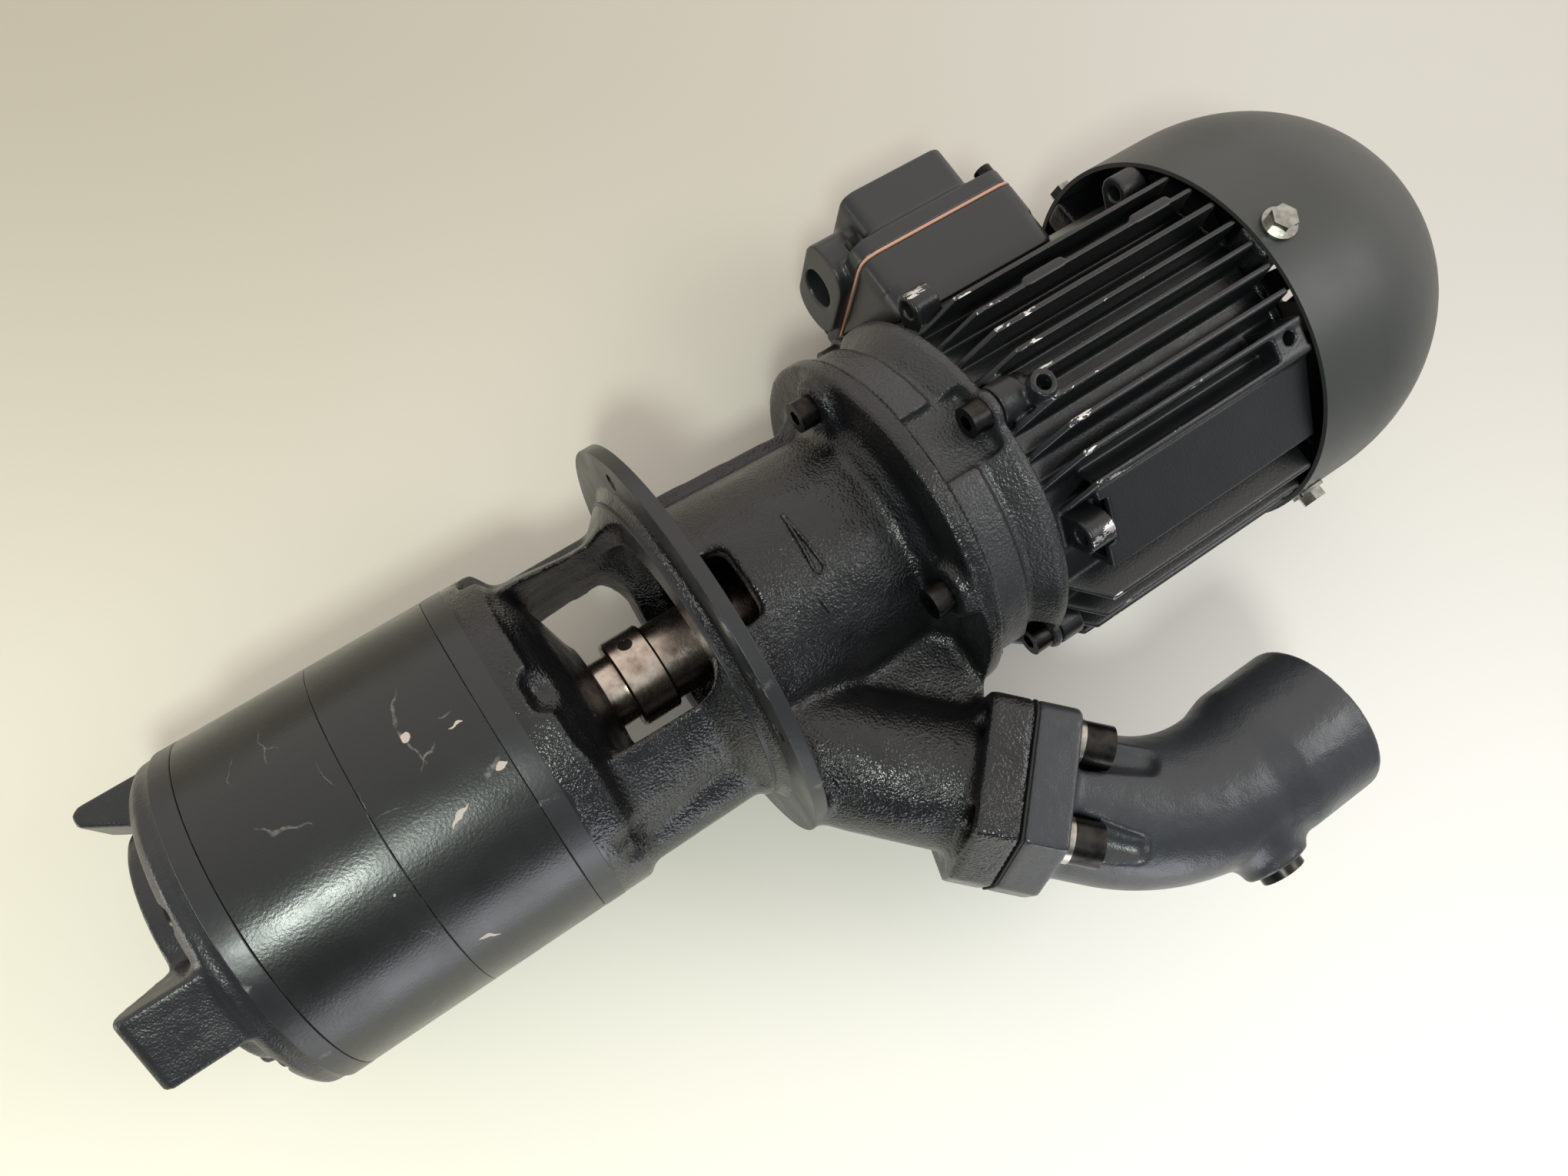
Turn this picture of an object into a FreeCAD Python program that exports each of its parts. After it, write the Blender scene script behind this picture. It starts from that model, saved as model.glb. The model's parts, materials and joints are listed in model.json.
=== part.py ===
"""Two-stage immersion pump with a tank flange, a 45 degree discharge branch and a flanged motor.

Frame: origin at the centre of the tank flange's lower face, +Z up the shaft to the motor,
+X towards the discharge branch. Lengths are in millimetres, angles in degrees.
"""

import FreeCAD, Part
import math
import os

from FreeCAD import Placement, Rotation, Vector

os.makedirs("parts", exist_ok=True)
doc = FreeCAD.newDocument("immersion_pump")


# Driving dimensions

SIZES = {
    "flange_radius": 90,
    "flange_thickness": 5.5,
    "flange_hole": 3.5,
    "flange_circle": 80,
    "spigot_radius": 69,
    "spigot_depth": 5,
    "bracket_drop": 83,
    "bracket_rise": 100.8,
    "roof_height": 27,
    "roof_thickness": 10,
    "shoulder_height": 21.5,
    "lip_depth": 3.5,
    "lantern_radius": 60.5,
    "lantern_bore": 50,
    "lantern_waist": 57.3,
    "lantern_flare": 11,
    "window_back": 49.5,
    "window_front": 30.3,
    "window_drop": 62,
    "window_corner": 10,
    "dome_bore": 18.5,
    "dome_top": 41,
    "dome_middle": 46.5,
    "dome_edge": 57.5,
    "scallop_radius": 9,
    "scallop_depth": 6,
    "neck_radius": 53.6,
    "neck_top_radius": 50.7,
    "neck_bore": 44,
    "neck_fillet": 6,
    "slot_half": 15.5,
    "slot_rise": 8.5,
    "slot_height": 14,
    "rib_reach": 62,
    "rib_top_reach": 58,
    "rib_thickness": 12,
    "motor_flange_radius": 79,
    "motor_flange_thickness": 9,
    "motor_spigot": 55,
    "motor_spigot_height": 3.5,
    "motor_circle": 65,
    "lobe_radius": 12,
    "lobe_depth": 14.8,
    "duct_offset": 46.3,
    "duct_radius": 14.5,
    "duct_wall": 5.5,
    "branch_angle": 45,
    "branch_length": 103.4,
    "branch_start": 10,
    "branch_root_radius": 26.5,
    "branch_radius": 30,
    "port_width_half": 40,
    "port_rise": 31,
    "port_shoulder": 25,
    "port_drop": 40,
    "port_point_half": 8,
    "port_corner": 8,
    "port_thickness": 17.7,
    "port_pitch_along": 19,
    "port_pitch_across": 28,
    "port_gasket": 0.8,
    "web_thickness": 18,
    "web_rise": 42,
    "thread_gap": 0.05,
    "seat_gap": 0.1,
    "running_gap": 0.3,
    "shaft_gap": 0.05,
    "casing_radius": 69.4,
    "casing_bore": 48,
    "upper_stage": 47.5,
    "lower_stage": 50.7,
    "web_height": 10.7,
    "register_height": 8,
    "cover_register": 12,
    "cover_band": 8.1,
    "cover_depth": 18,
    "cover_cast_radius": 68.2,
    "inlet_radius": 49,
    "inlet_depth": 11,
    "inlet_mouth": 41,
    "chamber_radius": 44,
    "hub_radius": 22,
    "hub_depth": 6,
    "tie_circle": 58,
    "tie_radius": 4,
    "tie_slack": 0.5,
    "tie_recess": 8.6,
    "tie_thread_depth": 13,
    "ring_seal_circle": 65.3,
    "ring_seal_cord": 1.35,
    "foot_length": 28,
    "foot_width": 29,
    "foot_root": 24,
    "foot_tip": 7,
    "foot_outer": 66,
    "impeller_radius": 42,
    "impeller_width": 8,
    "eye_radius": 19,
    "neck_wall": 2.5,
    "neck_length": 10,
    "shroud_thickness": 2.5,
    "shroud_slope": 6.5,
    "hub_length": 22,
    "impeller_hub": 12,
    "impeller_drop": 21.2,
    "impeller_vane": 2.5,
    "diffuser_radius": 43.5,
    "diffuser_plate": 4,
    "diffuser_bore": 13.5,
    "diffuser_vane": 3,
    "pump_shaft": 8,
    "drive_shaft": 11,
    "shaft_thread": 6,
    "shaft_nut_height": 10,
    "shaft_nut": 9.5,
    "shaft_washer": 2,
    "shaft_top": 22,
    "bush_radius": 15,
    "sleeve_drop": 45.4,
    "sleeve_top": 92,
    "sleeve_lower": 14.8,
    "sleeve_middle": 17,
    "sleeve_upper": 20,
    "clamp_radius": 19.3,
    "clamp_drop": 33,
    "clamp_height": 17,
    "clamp_screw_angle": -122,
    "motor_shaft": 12,
    "motor_stub_rise": 52,
    "key_width": 8,
    "key_length": 30,
    "bearing_bore": 12.5,
    "bearing_radius": 26,
    "bearing_width": 15,
    "bearing_ball": 3.95,
    "bearing_land": 2.9,
    "bearing_rise": 7.5,
    "core_seat": 17,
    "fan_seat": 10,
    "shield_radius": 75.8,
    "shield_rim": 14.5,
    "shield_rise": 32.7,
    "shield_flare": 79.5,
    "shield_neck": 70,
    "shield_wall": 8,
    "shield_lip": 5,
    "shield_seal": 20,
    "tie_ear_circle": 76.4,
    "tie_ear_radius": 8.5,
    "tie_ear_thickness": 4.5,
    "tie_ear_length": 11,
    "tie_notch": 69.2,
    "tie_notch_half": 15,
    "barrel_radius": 72.5,
    "barrel_bore": 67,
    "barrel_length": 128.5,
    "fin_radius": 88,
    "fin_thickness": 2.6,
    "fin_pitch": 11.45,
    "side_fin_pitch": 14.3,
    "fin_slope": 17,
    "panel_distance": 82.5,
    "panel_half": 21.5,
    "panel_wall": 3.5,
    "panel_setback": 17,
    "lug_circle": 81.5,
    "lug_radius": 7.5,
    "lug_hole": 3.5,
    "lug_setback": 6,
    "lug_length": 12,
    "lug_gap": 3,
    "eye_boss": 5.5,
    "eye_boss_rise": 16,
    "eye_boss_angle": -86.6,
    "eye_boss_reach": 90.5,
    "eye_boss_depth": 9,
    "earth_block": 12,
    "earth_block_angle": -63.6,
    "earth_block_drop": 8.5,
    "label_low": 174.6,
    "label_high": 230,
    "label_length": 20.5,
    "label_lip": 3.2,
    "core_bore": 40,
    "core_length": 90,
    "core_setback": 16.5,
    "air_gap": 0.4,
    "slot_depth": 13,
    "slot_width": 5,
    "winding_overhang": 15,
    "box_half": 42,
    "box_low": 145,
    "box_length": 83,
    "box_face": 93.1,
    "box_corner": 9,
    "box_wall": 4,
    "box_floor": 77,
    "box_gasket": 1.2,
    "lid_lip": 8.2,
    "lid_rise": 31,
    "lid_wall": 3,
    "lid_setback": 11.5,
    "lid_length": 55,
    "lid_screw": 2.5,
    "lid_screw_inset": 6,
    "nose_low": -28,
    "nose_high": 22,
    "entry_radius": 9.25,
    "entry_corner": 12,
    "entry_distance": 109.5,
    "entry_shift": 3,
    "entry_reach": 6,
    "cowl_radius": 89.7,
    "cowl_wall": 2,
    "cowl_skirt": 36,
    "cowl_overlap": 1,
    "cowl_screw_rise": 11,
    "arm_width": 16,
    "vent_width": 4,
    "vent_inner": 14,
    "vent_outer": 48,
    "fan_radius": 74,
    "fan_hub": 14,
    "fan_blade": 30,
    "fan_web": 3,
    "fan_rise": 26,
    "elbow_radius": 31,
    "elbow_bore": 14.5,
    "elbow_bend": 78,
    "outlet_offset": 170,
    "outlet_rise": 204.6,
    "collar_radius": 34,
    "collar_length": 34,
    "collar_flare": 14,
    "outlet_thread": 22.4,
    "outlet_depth": 24,
    "plug_rise": 151,
    "plug_boss": 14.5,
    "plug_boss_reach": 37,
    "plug_radius": 6,
    "plug_head": 9.5,
    "plug_head_height": 4,
    "port_screw": 6,
    "port_head": 9,
    "port_washer": 2.5,
    "m8_head": 6.5,
    "m8_radius": 4,
}

COUNTS = {
    "tie_count": 6,
    "foot_count": 3,
    "impeller_vanes": 6,
    "diffuser_vanes": 7,
    "fan_blades": 7,
    "fin_count": 9,
    "side_fin_count": 5,
    "stator_slots": 18,
    "vent_count": 16,
    "ball_count": 9,
}

sheet = doc.addObject("Spreadsheet::Sheet", "sizes")
for row, (alias, amount) in enumerate({**SIZES, **COUNTS}.items(), start=1):
    sheet.set(f"A{row}", alias)
    sheet.set(f"B{row}", str(amount))
    sheet.setAlias(f"B{row}", alias)
doc.recompute()


class Size:
    """A length or angle: its number, and the formula on the sheet that gives it."""

    def __init__(self, number, formula):
        self.number = number
        self.formula = formula

    def __add__(self, other):
        other = as_size(other)
        return Size(self.number + other.number, f"({self.formula} + {other.formula})")

    def __radd__(self, other):
        return as_size(other) + self

    def __sub__(self, other):
        other = as_size(other)
        return Size(self.number - other.number, f"({self.formula} - {other.formula})")

    def __rsub__(self, other):
        return as_size(other) - self

    def __mul__(self, other):
        other = as_size(other)
        return Size(self.number * other.number, f"({self.formula} * {other.formula})")

    def __rmul__(self, other):
        return as_size(other) * self

    def __truediv__(self, other):
        other = as_size(other)
        return Size(self.number / other.number, f"({self.formula} / {other.formula})")

    def __neg__(self):
        return Size(-self.number, f"(0 - {self.formula})")


def as_size(amount):
    if isinstance(amount, Size):
        return amount
    return Size(amount, f"({amount})")


def sine(angle):
    angle = as_size(angle)
    return Size(math.sin(math.radians(angle.number)), f"sin({angle.formula})")


def cosine(angle):
    angle = as_size(angle)
    return Size(math.cos(math.radians(angle.number)), f"cos({angle.formula})")


def root(amount):
    amount = as_size(amount)
    return Size(math.sqrt(amount.number), f"sqrt({amount.formula})")


def size(alias):
    return Size(float(sheet.get(alias)), f"sizes.{alias}")


class Sizes:
    """Every size on the sheet, by its alias."""


s = Sizes()
for alias in {**SIZES, **COUNTS}:
    setattr(s, alias, size(alias))


# Heights and places that follow from the driving dimensions

casing_top = -s.bracket_drop
middle_joint = casing_top - s.upper_stage
cover_joint = middle_joint - s.lower_stage
cover_low = cover_joint - s.cover_depth
inlet_low = cover_low - s.inlet_depth
roof_top = casing_top + s.roof_height
roof_low = roof_top - s.roof_thickness
register_radius = s.casing_bore - s.seat_gap
neck_outer = s.eye_radius + s.neck_wall
eye_bore = neck_outer + s.running_gap
cover_register_top = cover_joint + s.cover_register
web_top = middle_joint + s.register_height
web_low = web_top - s.web_height
lower_impeller = cover_register_top + s.impeller_drop
upper_impeller = web_top + s.impeller_drop
motor_face = s.bracket_rise
barrel_low = motor_face + s.shield_rise
barrel_top = barrel_low + s.barrel_length
bearing_low = motor_face + s.bearing_rise
bearing_top = bearing_low + s.bearing_width
fan_bearing_low = barrel_top - s.bearing_width + 6
core_low = barrel_low + s.core_setback
core_top = core_low + s.core_length
fan_low = barrel_top + s.fan_rise
shaft_end = fan_low + s.fan_blade - 2
cowl_low = barrel_top + s.cowl_overlap
cowl_centre = cowl_low + s.cowl_skirt
port_x = s.duct_offset + s.branch_length * cosine(s.branch_angle)
port_z = s.branch_length * sine(s.branch_angle)


# Building blocks

nodes = []


def attach(body, name, plane, at=(0, 0, 0), turn=None, about=Vector(0, 0, 1)):
    """A sketch on one of its body's origin planes, moved by at and turned in that plane's frame."""
    drawing = body.newObject("Sketcher::SketchObject", name)
    support = [item for item in body.Origin.OriginFeatures if item.Role == plane + "_Plane"][0]
    drawing.AttachmentSupport = [(support, "")]
    drawing.MapMode = "FlatFace"
    place = [as_size(amount) for amount in at]
    angle = as_size(turn if turn is not None else 0)
    spin = Rotation(about, angle.number)
    drawing.AttachmentOffset = Placement(Vector(*[amount.number for amount in place]), spin)
    for letter, amount in zip("xyz", place):
        drawing.setExpression(f"AttachmentOffset.Base.{letter}", amount.formula)
    if turn is not None:
        drawing.setExpression("AttachmentOffset.Rotation.Angle", angle.formula)
    return drawing


def radial(body, name, height, angle, distance=0):
    """A sketch square to a radius: its centre at an angle, a height and a distance from Z."""
    across, out = as_size(distance) * sine(angle), as_size(distance) * cosine(angle)
    return attach(body, name, "YZ", (across, height, out), turn=angle, about=Vector(0, 1, 0))


def pin_point(drawing, geometry, end, x, y):
    """Holds one end of a line or a centre at x, y from the sketch's origin."""
    for kind, amount in (("DistanceX", x), ("DistanceY", y)):
        axis = -2 if kind == "DistanceX" else -1
        if amount.number == 0:
            import_constraint(drawing, ("PointOnObject", geometry, end, axis))
            continue
        index = import_constraint(drawing, (kind, -1, 1, geometry, end, amount.number))
        drawing.setExpression(f"Constraints[{index}]", amount.formula)


def import_constraint(drawing, parts):
    from Sketcher import Constraint

    return drawing.addConstraint(Constraint(*parts))


def outline(drawing, points, arcs=None, construction=False):
    """A closed outline. arcs maps the number of a side to the radius of its bulge: a positive
    radius bends the side anticlockwise round a centre on its left."""
    arcs = arcs or {}
    corners = [(as_size(x), as_size(y)) for x, y in points]
    ends = [Vector(x.number, y.number, 0) for x, y in corners]
    first = drawing.GeometryCount
    starts = []
    for side, start in enumerate(ends):
        end = ends[(side + 1) % len(ends)]
        if side not in arcs:
            drawing.addGeometry(Part.LineSegment(start, end), construction)
            starts.append((1, 2))
            continue
        radius = as_size(arcs[side])
        middle = (start + end) * 0.5
        along = end - start
        half = along.Length / 2
        left = Vector(-along.y, along.x, 0).normalize()
        lift = math.sqrt(max(radius.number ** 2 - half ** 2, 0))
        sign = 1 if radius.number > 0 else -1
        centre = middle + left * lift * sign
        angles = [math.atan2(p.y - centre.y, p.x - centre.x) for p in (start, end)]
        if sign < 0:
            angles.reverse()
        circle = Part.Circle(centre, Vector(0, 0, 1), abs(radius.number))
        drawing.addGeometry(Part.ArcOfCircle(circle, angles[0], angles[1]), construction)
        starts.append((1, 2) if sign > 0 else (2, 1))
    count = len(ends)
    for side in range(count):
        after = (side + 1) % count
        import_constraint(drawing, ("Coincident", first + side, starts[side][1],
                                    first + after, starts[after][0]))
    for side, (x, y) in enumerate(corners):
        pin_point(drawing, first + side, starts[side][0], x, y)
    for side, radius in arcs.items():
        radius = as_size(radius)
        index = import_constraint(drawing, ("Radius", first + side, abs(radius.number)))
        formula = radius.formula if radius.number > 0 else f"(0 - {radius.formula})"
        drawing.setExpression(f"Constraints[{index}]", formula)


def circle(drawing, radius, x=0, y=0):
    radius, x, y = as_size(radius), as_size(x), as_size(y)
    centre = Vector(x.number, y.number, 0)
    index = drawing.addGeometry(Part.Circle(centre, Vector(0, 0, 1), radius.number))
    pin_point(drawing, index, 3, x, y)
    held = import_constraint(drawing, ("Radius", index, radius.number))
    drawing.setExpression(f"Constraints[{held}]", radius.formula)


def rectangle(drawing, left, right, low, high):
    outline(drawing, [(left, low), (right, low), (right, high), (left, high)])


def rounded_rectangle(drawing, left, right, low, high, corner):
    left, right, low, high, corner = [as_size(a) for a in (left, right, low, high, corner)]
    points = [
        (left + corner, low), (right - corner, low), (right, low + corner),
        (right, high - corner), (right - corner, high), (left + corner, high),
        (left, high - corner), (left, low + corner),
    ]
    outline(drawing, points, {1: corner, 3: corner, 5: corner, 7: corner})


def part_body(label):
    """A body for one sub-part. Its label is the name of its file."""
    made = doc.addObject("PartDesign::Body", label)
    made.Label = label
    made.Placement = Placement()
    return made


def feature(body, kind, name, drawing):
    made = body.newObject("PartDesign::" + kind, name)
    made.Profile = drawing
    drawing.Visibility = False
    return made


def pad(body, name, drawing, length, both_ways=False, backwards=False):
    made = feature(body, "Pad", name, drawing)
    made.Midplane = both_ways
    made.Reversed = backwards
    made.setExpression("Length", as_size(length).formula)
    return made


def pocket(body, name, drawing, length=None, both_ways=False, backwards=False):
    made = feature(body, "Pocket", name, drawing)
    made.Midplane = both_ways
    made.Reversed = backwards
    if length is None:
        made.Type = "ThroughAll"
    else:
        made.setExpression("Length", as_size(length).formula)
    return made


def turned(body, name, points, arcs=None):
    """A full revolution about Z of an outline of radius and height."""
    drawing = attach(body, name + "_outline", "XZ")
    outline(drawing, points, arcs)
    made = feature(body, "Revolution", name, drawing)
    made.ReferenceAxis = (drawing, ["V_Axis"])
    made.Angle = 360
    return made


def revolved(body, name, drawing, axis):
    """A full revolution about one of the drawing's own axes."""
    made = feature(body, "Revolution", name, drawing)
    made.ReferenceAxis = (drawing, [axis])
    made.Angle = 360
    return made


def grooved(body, name, points, arcs=None):
    """A full cut about Z of an outline of radius and height."""
    drawing = attach(body, name + "_outline", "XZ")
    outline(drawing, points, arcs)
    made = feature(body, "Groove", name, drawing)
    made.ReferenceAxis = (drawing, ["V_Axis"])
    made.Angle = 360
    return made


def repeated(body, name, originals, count, angle=360):
    """Copies of features, evenly spaced about Z."""
    made = body.newObject("PartDesign::PolarPattern", name)
    made.Originals = originals
    axis = [item for item in body.Origin.OriginFeatures if item.Role == "Z_Axis"][0]
    made.Axis = (axis, [""])
    made.Angle = angle
    made.setExpression("Occurrences", as_size(count).formula)
    body.Tip = made
    return made


def finish(body):
    nodes.append(body)
    doc.recompute()
    return body


def ring(label, inner, outer, low, high):
    """A plain turned ring."""
    body = part_body(label)
    turned(body, "ring_turning", [(inner, low), (outer, low), (outer, high), (inner, high)])
    return finish(body)


def at_angle(radius, angle):
    return radius * cosine(angle), radius * sine(angle)


def turned_points(points, angle):
    """Points turned about the origin."""
    across, along = cosine(angle), sine(angle)
    return [(x * across - y * along, x * along + y * across)
            for x, y in [(as_size(x), as_size(y)) for x, y in points]]


def edges_where(shape, test):
    """Names of the edges of a shape that pass a test."""
    return [f"Edge{number}" for number, edge in enumerate(shape.Edges, start=1) if test(edge)]


def rounded(body, name, radius, test, kind="Fillet"):
    """A fillet or chamfer on the edges of the body's last shape that pass a test."""
    doc.recompute()
    base = body.Tip
    names = edges_where(base.Shape, test)
    made = body.newObject("PartDesign::" + kind, name)
    made.Base = (base, names)
    made.setExpression("Radius" if kind == "Fillet" else "Size", as_size(radius).formula)
    return made


def is_ring(radius, height, slack=0.01):
    """A test for a whole circle about Z at a radius and height."""
    radius, height = as_size(radius).number, as_size(height).number

    def test(edge):
        curve = edge.Curve
        if not isinstance(curve, Part.Circle):
            return False
        centre = curve.Center
        on_axis = math.hypot(centre.x, centre.y) < slack
        return on_axis and abs(curve.Radius - radius) < slack and abs(centre.z - height) < slack

    return test


def cap_screw(name, radius, length, head, head_height, key):
    """A socket head cap screw: its head's seat at the origin, its shank up +Z."""
    body = part_body(name)
    turned(body, "screw_turning", [
        (0, -head_height), (head, -head_height), (head, 0), (radius, 0), (radius, length), (0, length),
    ])
    drawing = attach(body, "socket_outline", "XY", (0, 0, -head_height))
    hexagon(drawing, key)
    pocket(body, "socket", drawing, head_height * 0.55, backwards=True)
    doc.recompute()
    return body


def hex_screw(name, radius, length, head, head_height):
    """A hexagon head screw: its head's seat at the origin, its shank up +Z."""
    body = part_body(name)
    turned(body, "shank_turning", [(0, 0), (radius, 0), (radius, length), (0, length)])
    drawing = attach(body, "head_outline", "XY")
    hexagon(drawing, head)
    pad(body, "head", drawing, head_height, backwards=True)
    doc.recompute()
    return body


def hexagon(drawing, across_corners_half):
    outline(drawing, [at_angle(as_size(across_corners_half), 60 * turn) for turn in range(6)])


def set_of(label, piece, places):
    """Copies of one piece, which stay separate solids of one node."""
    shapes = []
    for place in places:
        shape = piece.Shape.copy()
        shape.Placement = place.multiply(shape.Placement)
        shapes.append(shape)
    made = doc.addObject("Part::Feature", label)
    made.Label = label
    made.Shape = Part.makeCompound(shapes)
    made.Placement = Placement()
    nodes.append(made)
    return made


def round_places(radius, angles, height, direction=Vector(0, 0, 1)):
    """Places on a circle about Z, with a piece's own Z turned to a direction."""
    spin = Rotation(Vector(0, 0, 1), direction)
    radius, height = as_size(radius).number, as_size(height).number
    places = []
    for angle in angles:
        turn = math.radians(angle)
        spot = Vector(radius * math.cos(turn), radius * math.sin(turn), height)
        places.append(Placement(spot, Rotation(Vector(0, 0, 1), angle).multiply(spin)))
    return places


def evenly(count, first=0):
    count = int(as_size(count).number)
    return [first + 360 * number / count for number in range(count)]


DIAGONALS = [45, 135, 225, 315]
QUARTERS = [0, 90, 180, 270]
TIE_ANGLES = evenly(s.tie_count, 30)
FOOT_ANGLES = evenly(s.foot_count, 60)


# Suction end and stage casings

def tie_holes(body, name, radius, low, length):
    """Holes for the casing tie bolts, upwards from low."""
    drawing = attach(body, name + "_outline", "XY", (0, 0, low))
    for angle in TIE_ANGLES:
        circle(drawing, radius, *at_angle(s.tie_circle, angle))
    pocket(body, name, drawing, length, backwards=True)


def seal_groove(body, joint):
    """The groove for a ring seal in the top face of a casing ring."""
    half = s.ring_seal_cord + s.seat_gap
    grooved(body, "seal_groove", [
        (s.ring_seal_circle - half, joint - 2 * half),
        (s.ring_seal_circle + half, joint - 2 * half),
        (s.ring_seal_circle + half, joint + 1),
        (s.ring_seal_circle - half, joint + 1),
    ])


def make_suction_cover():
    body = part_body("suction_cover")
    cast_top = cover_joint - s.cover_band
    turned(body, "cover_turning", [
        (eye_bore, cover_low + 2),
        (s.inlet_mouth, inlet_low),
        (s.inlet_radius, inlet_low),
        (s.inlet_radius, cover_low),
        (s.cover_cast_radius - 4, cover_low),
        (s.cover_cast_radius, cover_low + 4),
        (s.cover_cast_radius, cast_top - 0.6),
        (s.casing_radius, cast_top),
        (s.casing_radius, cover_joint),
        (register_radius, cover_joint),
        (register_radius, cover_register_top),
        (eye_bore, cover_register_top),
    ])
    seal_groove(body, cover_joint)
    for number, angle in enumerate(FOOT_ANGLES):
        foot = attach(body, f"foot_outline_{number}", "XZ", turn=angle, about=Vector(0, 1, 0))
        outline(foot, [
            (s.foot_outer, cover_low + 6),
            (s.foot_outer - s.foot_root, cover_low + 6),
            (s.foot_outer - s.foot_root, cover_low),
            (s.foot_outer - s.foot_tip, cover_low - s.foot_length),
            (s.foot_outer - 2, cover_low - s.foot_length),
            (s.foot_outer, cover_low - s.foot_length + 3),
        ])
        pad(body, f"foot_{number}", foot, s.foot_width, both_ways=True)
    tie_holes(body, "tie_holes", s.tie_radius + s.tie_slack, cover_low - 1, s.cover_depth + 2)
    tie_holes(body, "tie_recesses", s.m8_head + s.tie_slack, cover_low - 1, s.tie_recess + 1)
    return finish(body)


def make_lower_stage():
    body = part_body("lower_stage_casing")
    turned(body, "stage_turning", [
        (s.casing_bore, cover_joint),
        (s.casing_radius, cover_joint),
        (s.casing_radius, middle_joint),
        (register_radius, middle_joint),
        (register_radius, web_top),
        (eye_bore, web_top),
        (eye_bore, web_low),
        (s.casing_bore, web_low),
    ])
    seal_groove(body, middle_joint)
    tie_holes(body, "tie_holes", s.tie_radius + s.tie_slack, cover_joint - 1, s.lower_stage + 2)
    return finish(body)


def make_upper_stage():
    body = part_body("upper_stage_casing")
    turned(body, "stage_turning", [
        (s.casing_bore, middle_joint),
        (s.casing_radius, middle_joint),
        (s.casing_radius, casing_top),
        (s.casing_bore, casing_top),
    ])
    seal_groove(body, casing_top)
    tie_holes(body, "tie_holes", s.tie_radius + s.tie_slack, middle_joint - 1, s.upper_stage + 2)
    return finish(body)


def make_ring_seals():
    seal = part_body("ring_seal")
    drawing = attach(seal, "cord_outline", "XZ")
    circle(drawing, s.ring_seal_cord, s.ring_seal_circle, 0)
    made = feature(seal, "Revolution", "cord", drawing)
    made.ReferenceAxis = (drawing, ["V_Axis"])
    made.Angle = 360
    doc.recompute()
    depth = s.ring_seal_cord + s.seat_gap
    places = [Placement(Vector(0, 0, (joint - depth).number), Rotation())
              for joint in (cover_joint, middle_joint, casing_top)]
    return set_of("casing_ring_seals", seal, places)


def curved_vane(drawing, inner, outer, thickness, sweep, bend):
    """The outline of one curved blade. sweep is the turn of its tip round Z, and sweep and
    bend together are the tip's heading."""
    half = thickness / 2
    root_low = (inner, -half)
    root_high = (inner, half)
    tip_x, tip_y = at_angle(outer, sweep)
    lean = sweep + bend
    bow = outer * (0.9 if sweep > 0 else -0.9)
    side_x, side_y = half * sine(lean), half * cosine(lean)
    outline(drawing, [
        root_low,
        (tip_x + side_x, tip_y - side_y),
        (tip_x - side_x, tip_y + side_y),
        root_high,
    ], {0: bow, 2: -bow})


def make_impeller(label, top):
    """A closed impeller, hub and back shroud above, eye neck below."""
    body = part_body(label)
    back = s.shroud_thickness
    exit_low = top - back - s.impeller_width
    eye_low = exit_low - s.shroud_slope
    turned(body, "hub_turning", [
        (s.pump_shaft, top - s.hub_length),
        (s.impeller_hub, top - s.hub_length),
        (s.impeller_hub, top - back - 3),
        (s.impeller_hub + 3, top - back),
        (s.impeller_radius, top - back),
        (s.impeller_radius, top),
        (s.pump_shaft, top),
    ])
    drawing = attach(body, "vane_outline", "XY", (0, 0, eye_low))
    curved_vane(drawing, s.eye_radius - 3, s.impeller_radius - 1.5, s.impeller_vane, -62, -51)
    vane = pad(body, "vane", drawing, top - back / 2 - eye_low)
    repeated(body, "vanes", [vane], s.impeller_vanes)
    grooved(body, "shroud_clearance", [
        (s.eye_radius - 8, eye_low - 1),
        (s.impeller_radius + 1, eye_low - 1),
        (s.impeller_radius + 1, exit_low - back),
        (s.impeller_radius, exit_low - back),
        (neck_outer, eye_low),
        (s.eye_radius - 8, eye_low),
    ])
    turned(body, "shroud_turning", [
        (s.eye_radius, eye_low - s.neck_length),
        (neck_outer, eye_low - s.neck_length),
        (neck_outer, eye_low - back / 2),
        (s.impeller_radius, exit_low - back),
        (s.impeller_radius, exit_low),
        (s.eye_radius, eye_low + back),
    ])
    return finish(body)


def make_diffuser(label, plate_low, top):
    """A guide disc: return vanes above a plate, over the impeller below it."""
    body = part_body(label)
    turned(body, "plate_turning", [
        (s.diffuser_bore, plate_low),
        (s.diffuser_radius, plate_low),
        (s.diffuser_radius, plate_low + s.diffuser_plate),
        (s.diffuser_bore, plate_low + s.diffuser_plate),
    ])
    drawing = attach(body, "vane_outline", "XY", (0, 0, plate_low + 1))
    reach = register_radius - 1.8
    curved_vane(drawing, s.diffuser_bore + 4, reach, s.diffuser_vane, 50, 43)
    vane = pad(body, "vane", drawing, top - plate_low - 1)
    repeated(body, "vanes", [vane], s.diffuser_vanes)
    return finish(body)


def make_pump_shaft():
    body = part_body("pump_shaft")
    hub_low = lower_impeller - s.hub_length
    thread_low = hub_low - s.shaft_washer - s.shaft_nut_height - 3
    turned(body, "shaft_turning", [
        (0, thread_low),
        (s.shaft_thread - 1, thread_low),
        (s.shaft_thread, thread_low + 1),
        (s.shaft_thread, hub_low),
        (s.pump_shaft, hub_low),
        (s.pump_shaft, upper_impeller),
        (s.drive_shaft, upper_impeller),
        (s.drive_shaft, s.shaft_top - 1.5),
        (s.drive_shaft - 1.5, s.shaft_top),
        (0, s.shaft_top),
    ])
    return finish(body)


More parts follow.
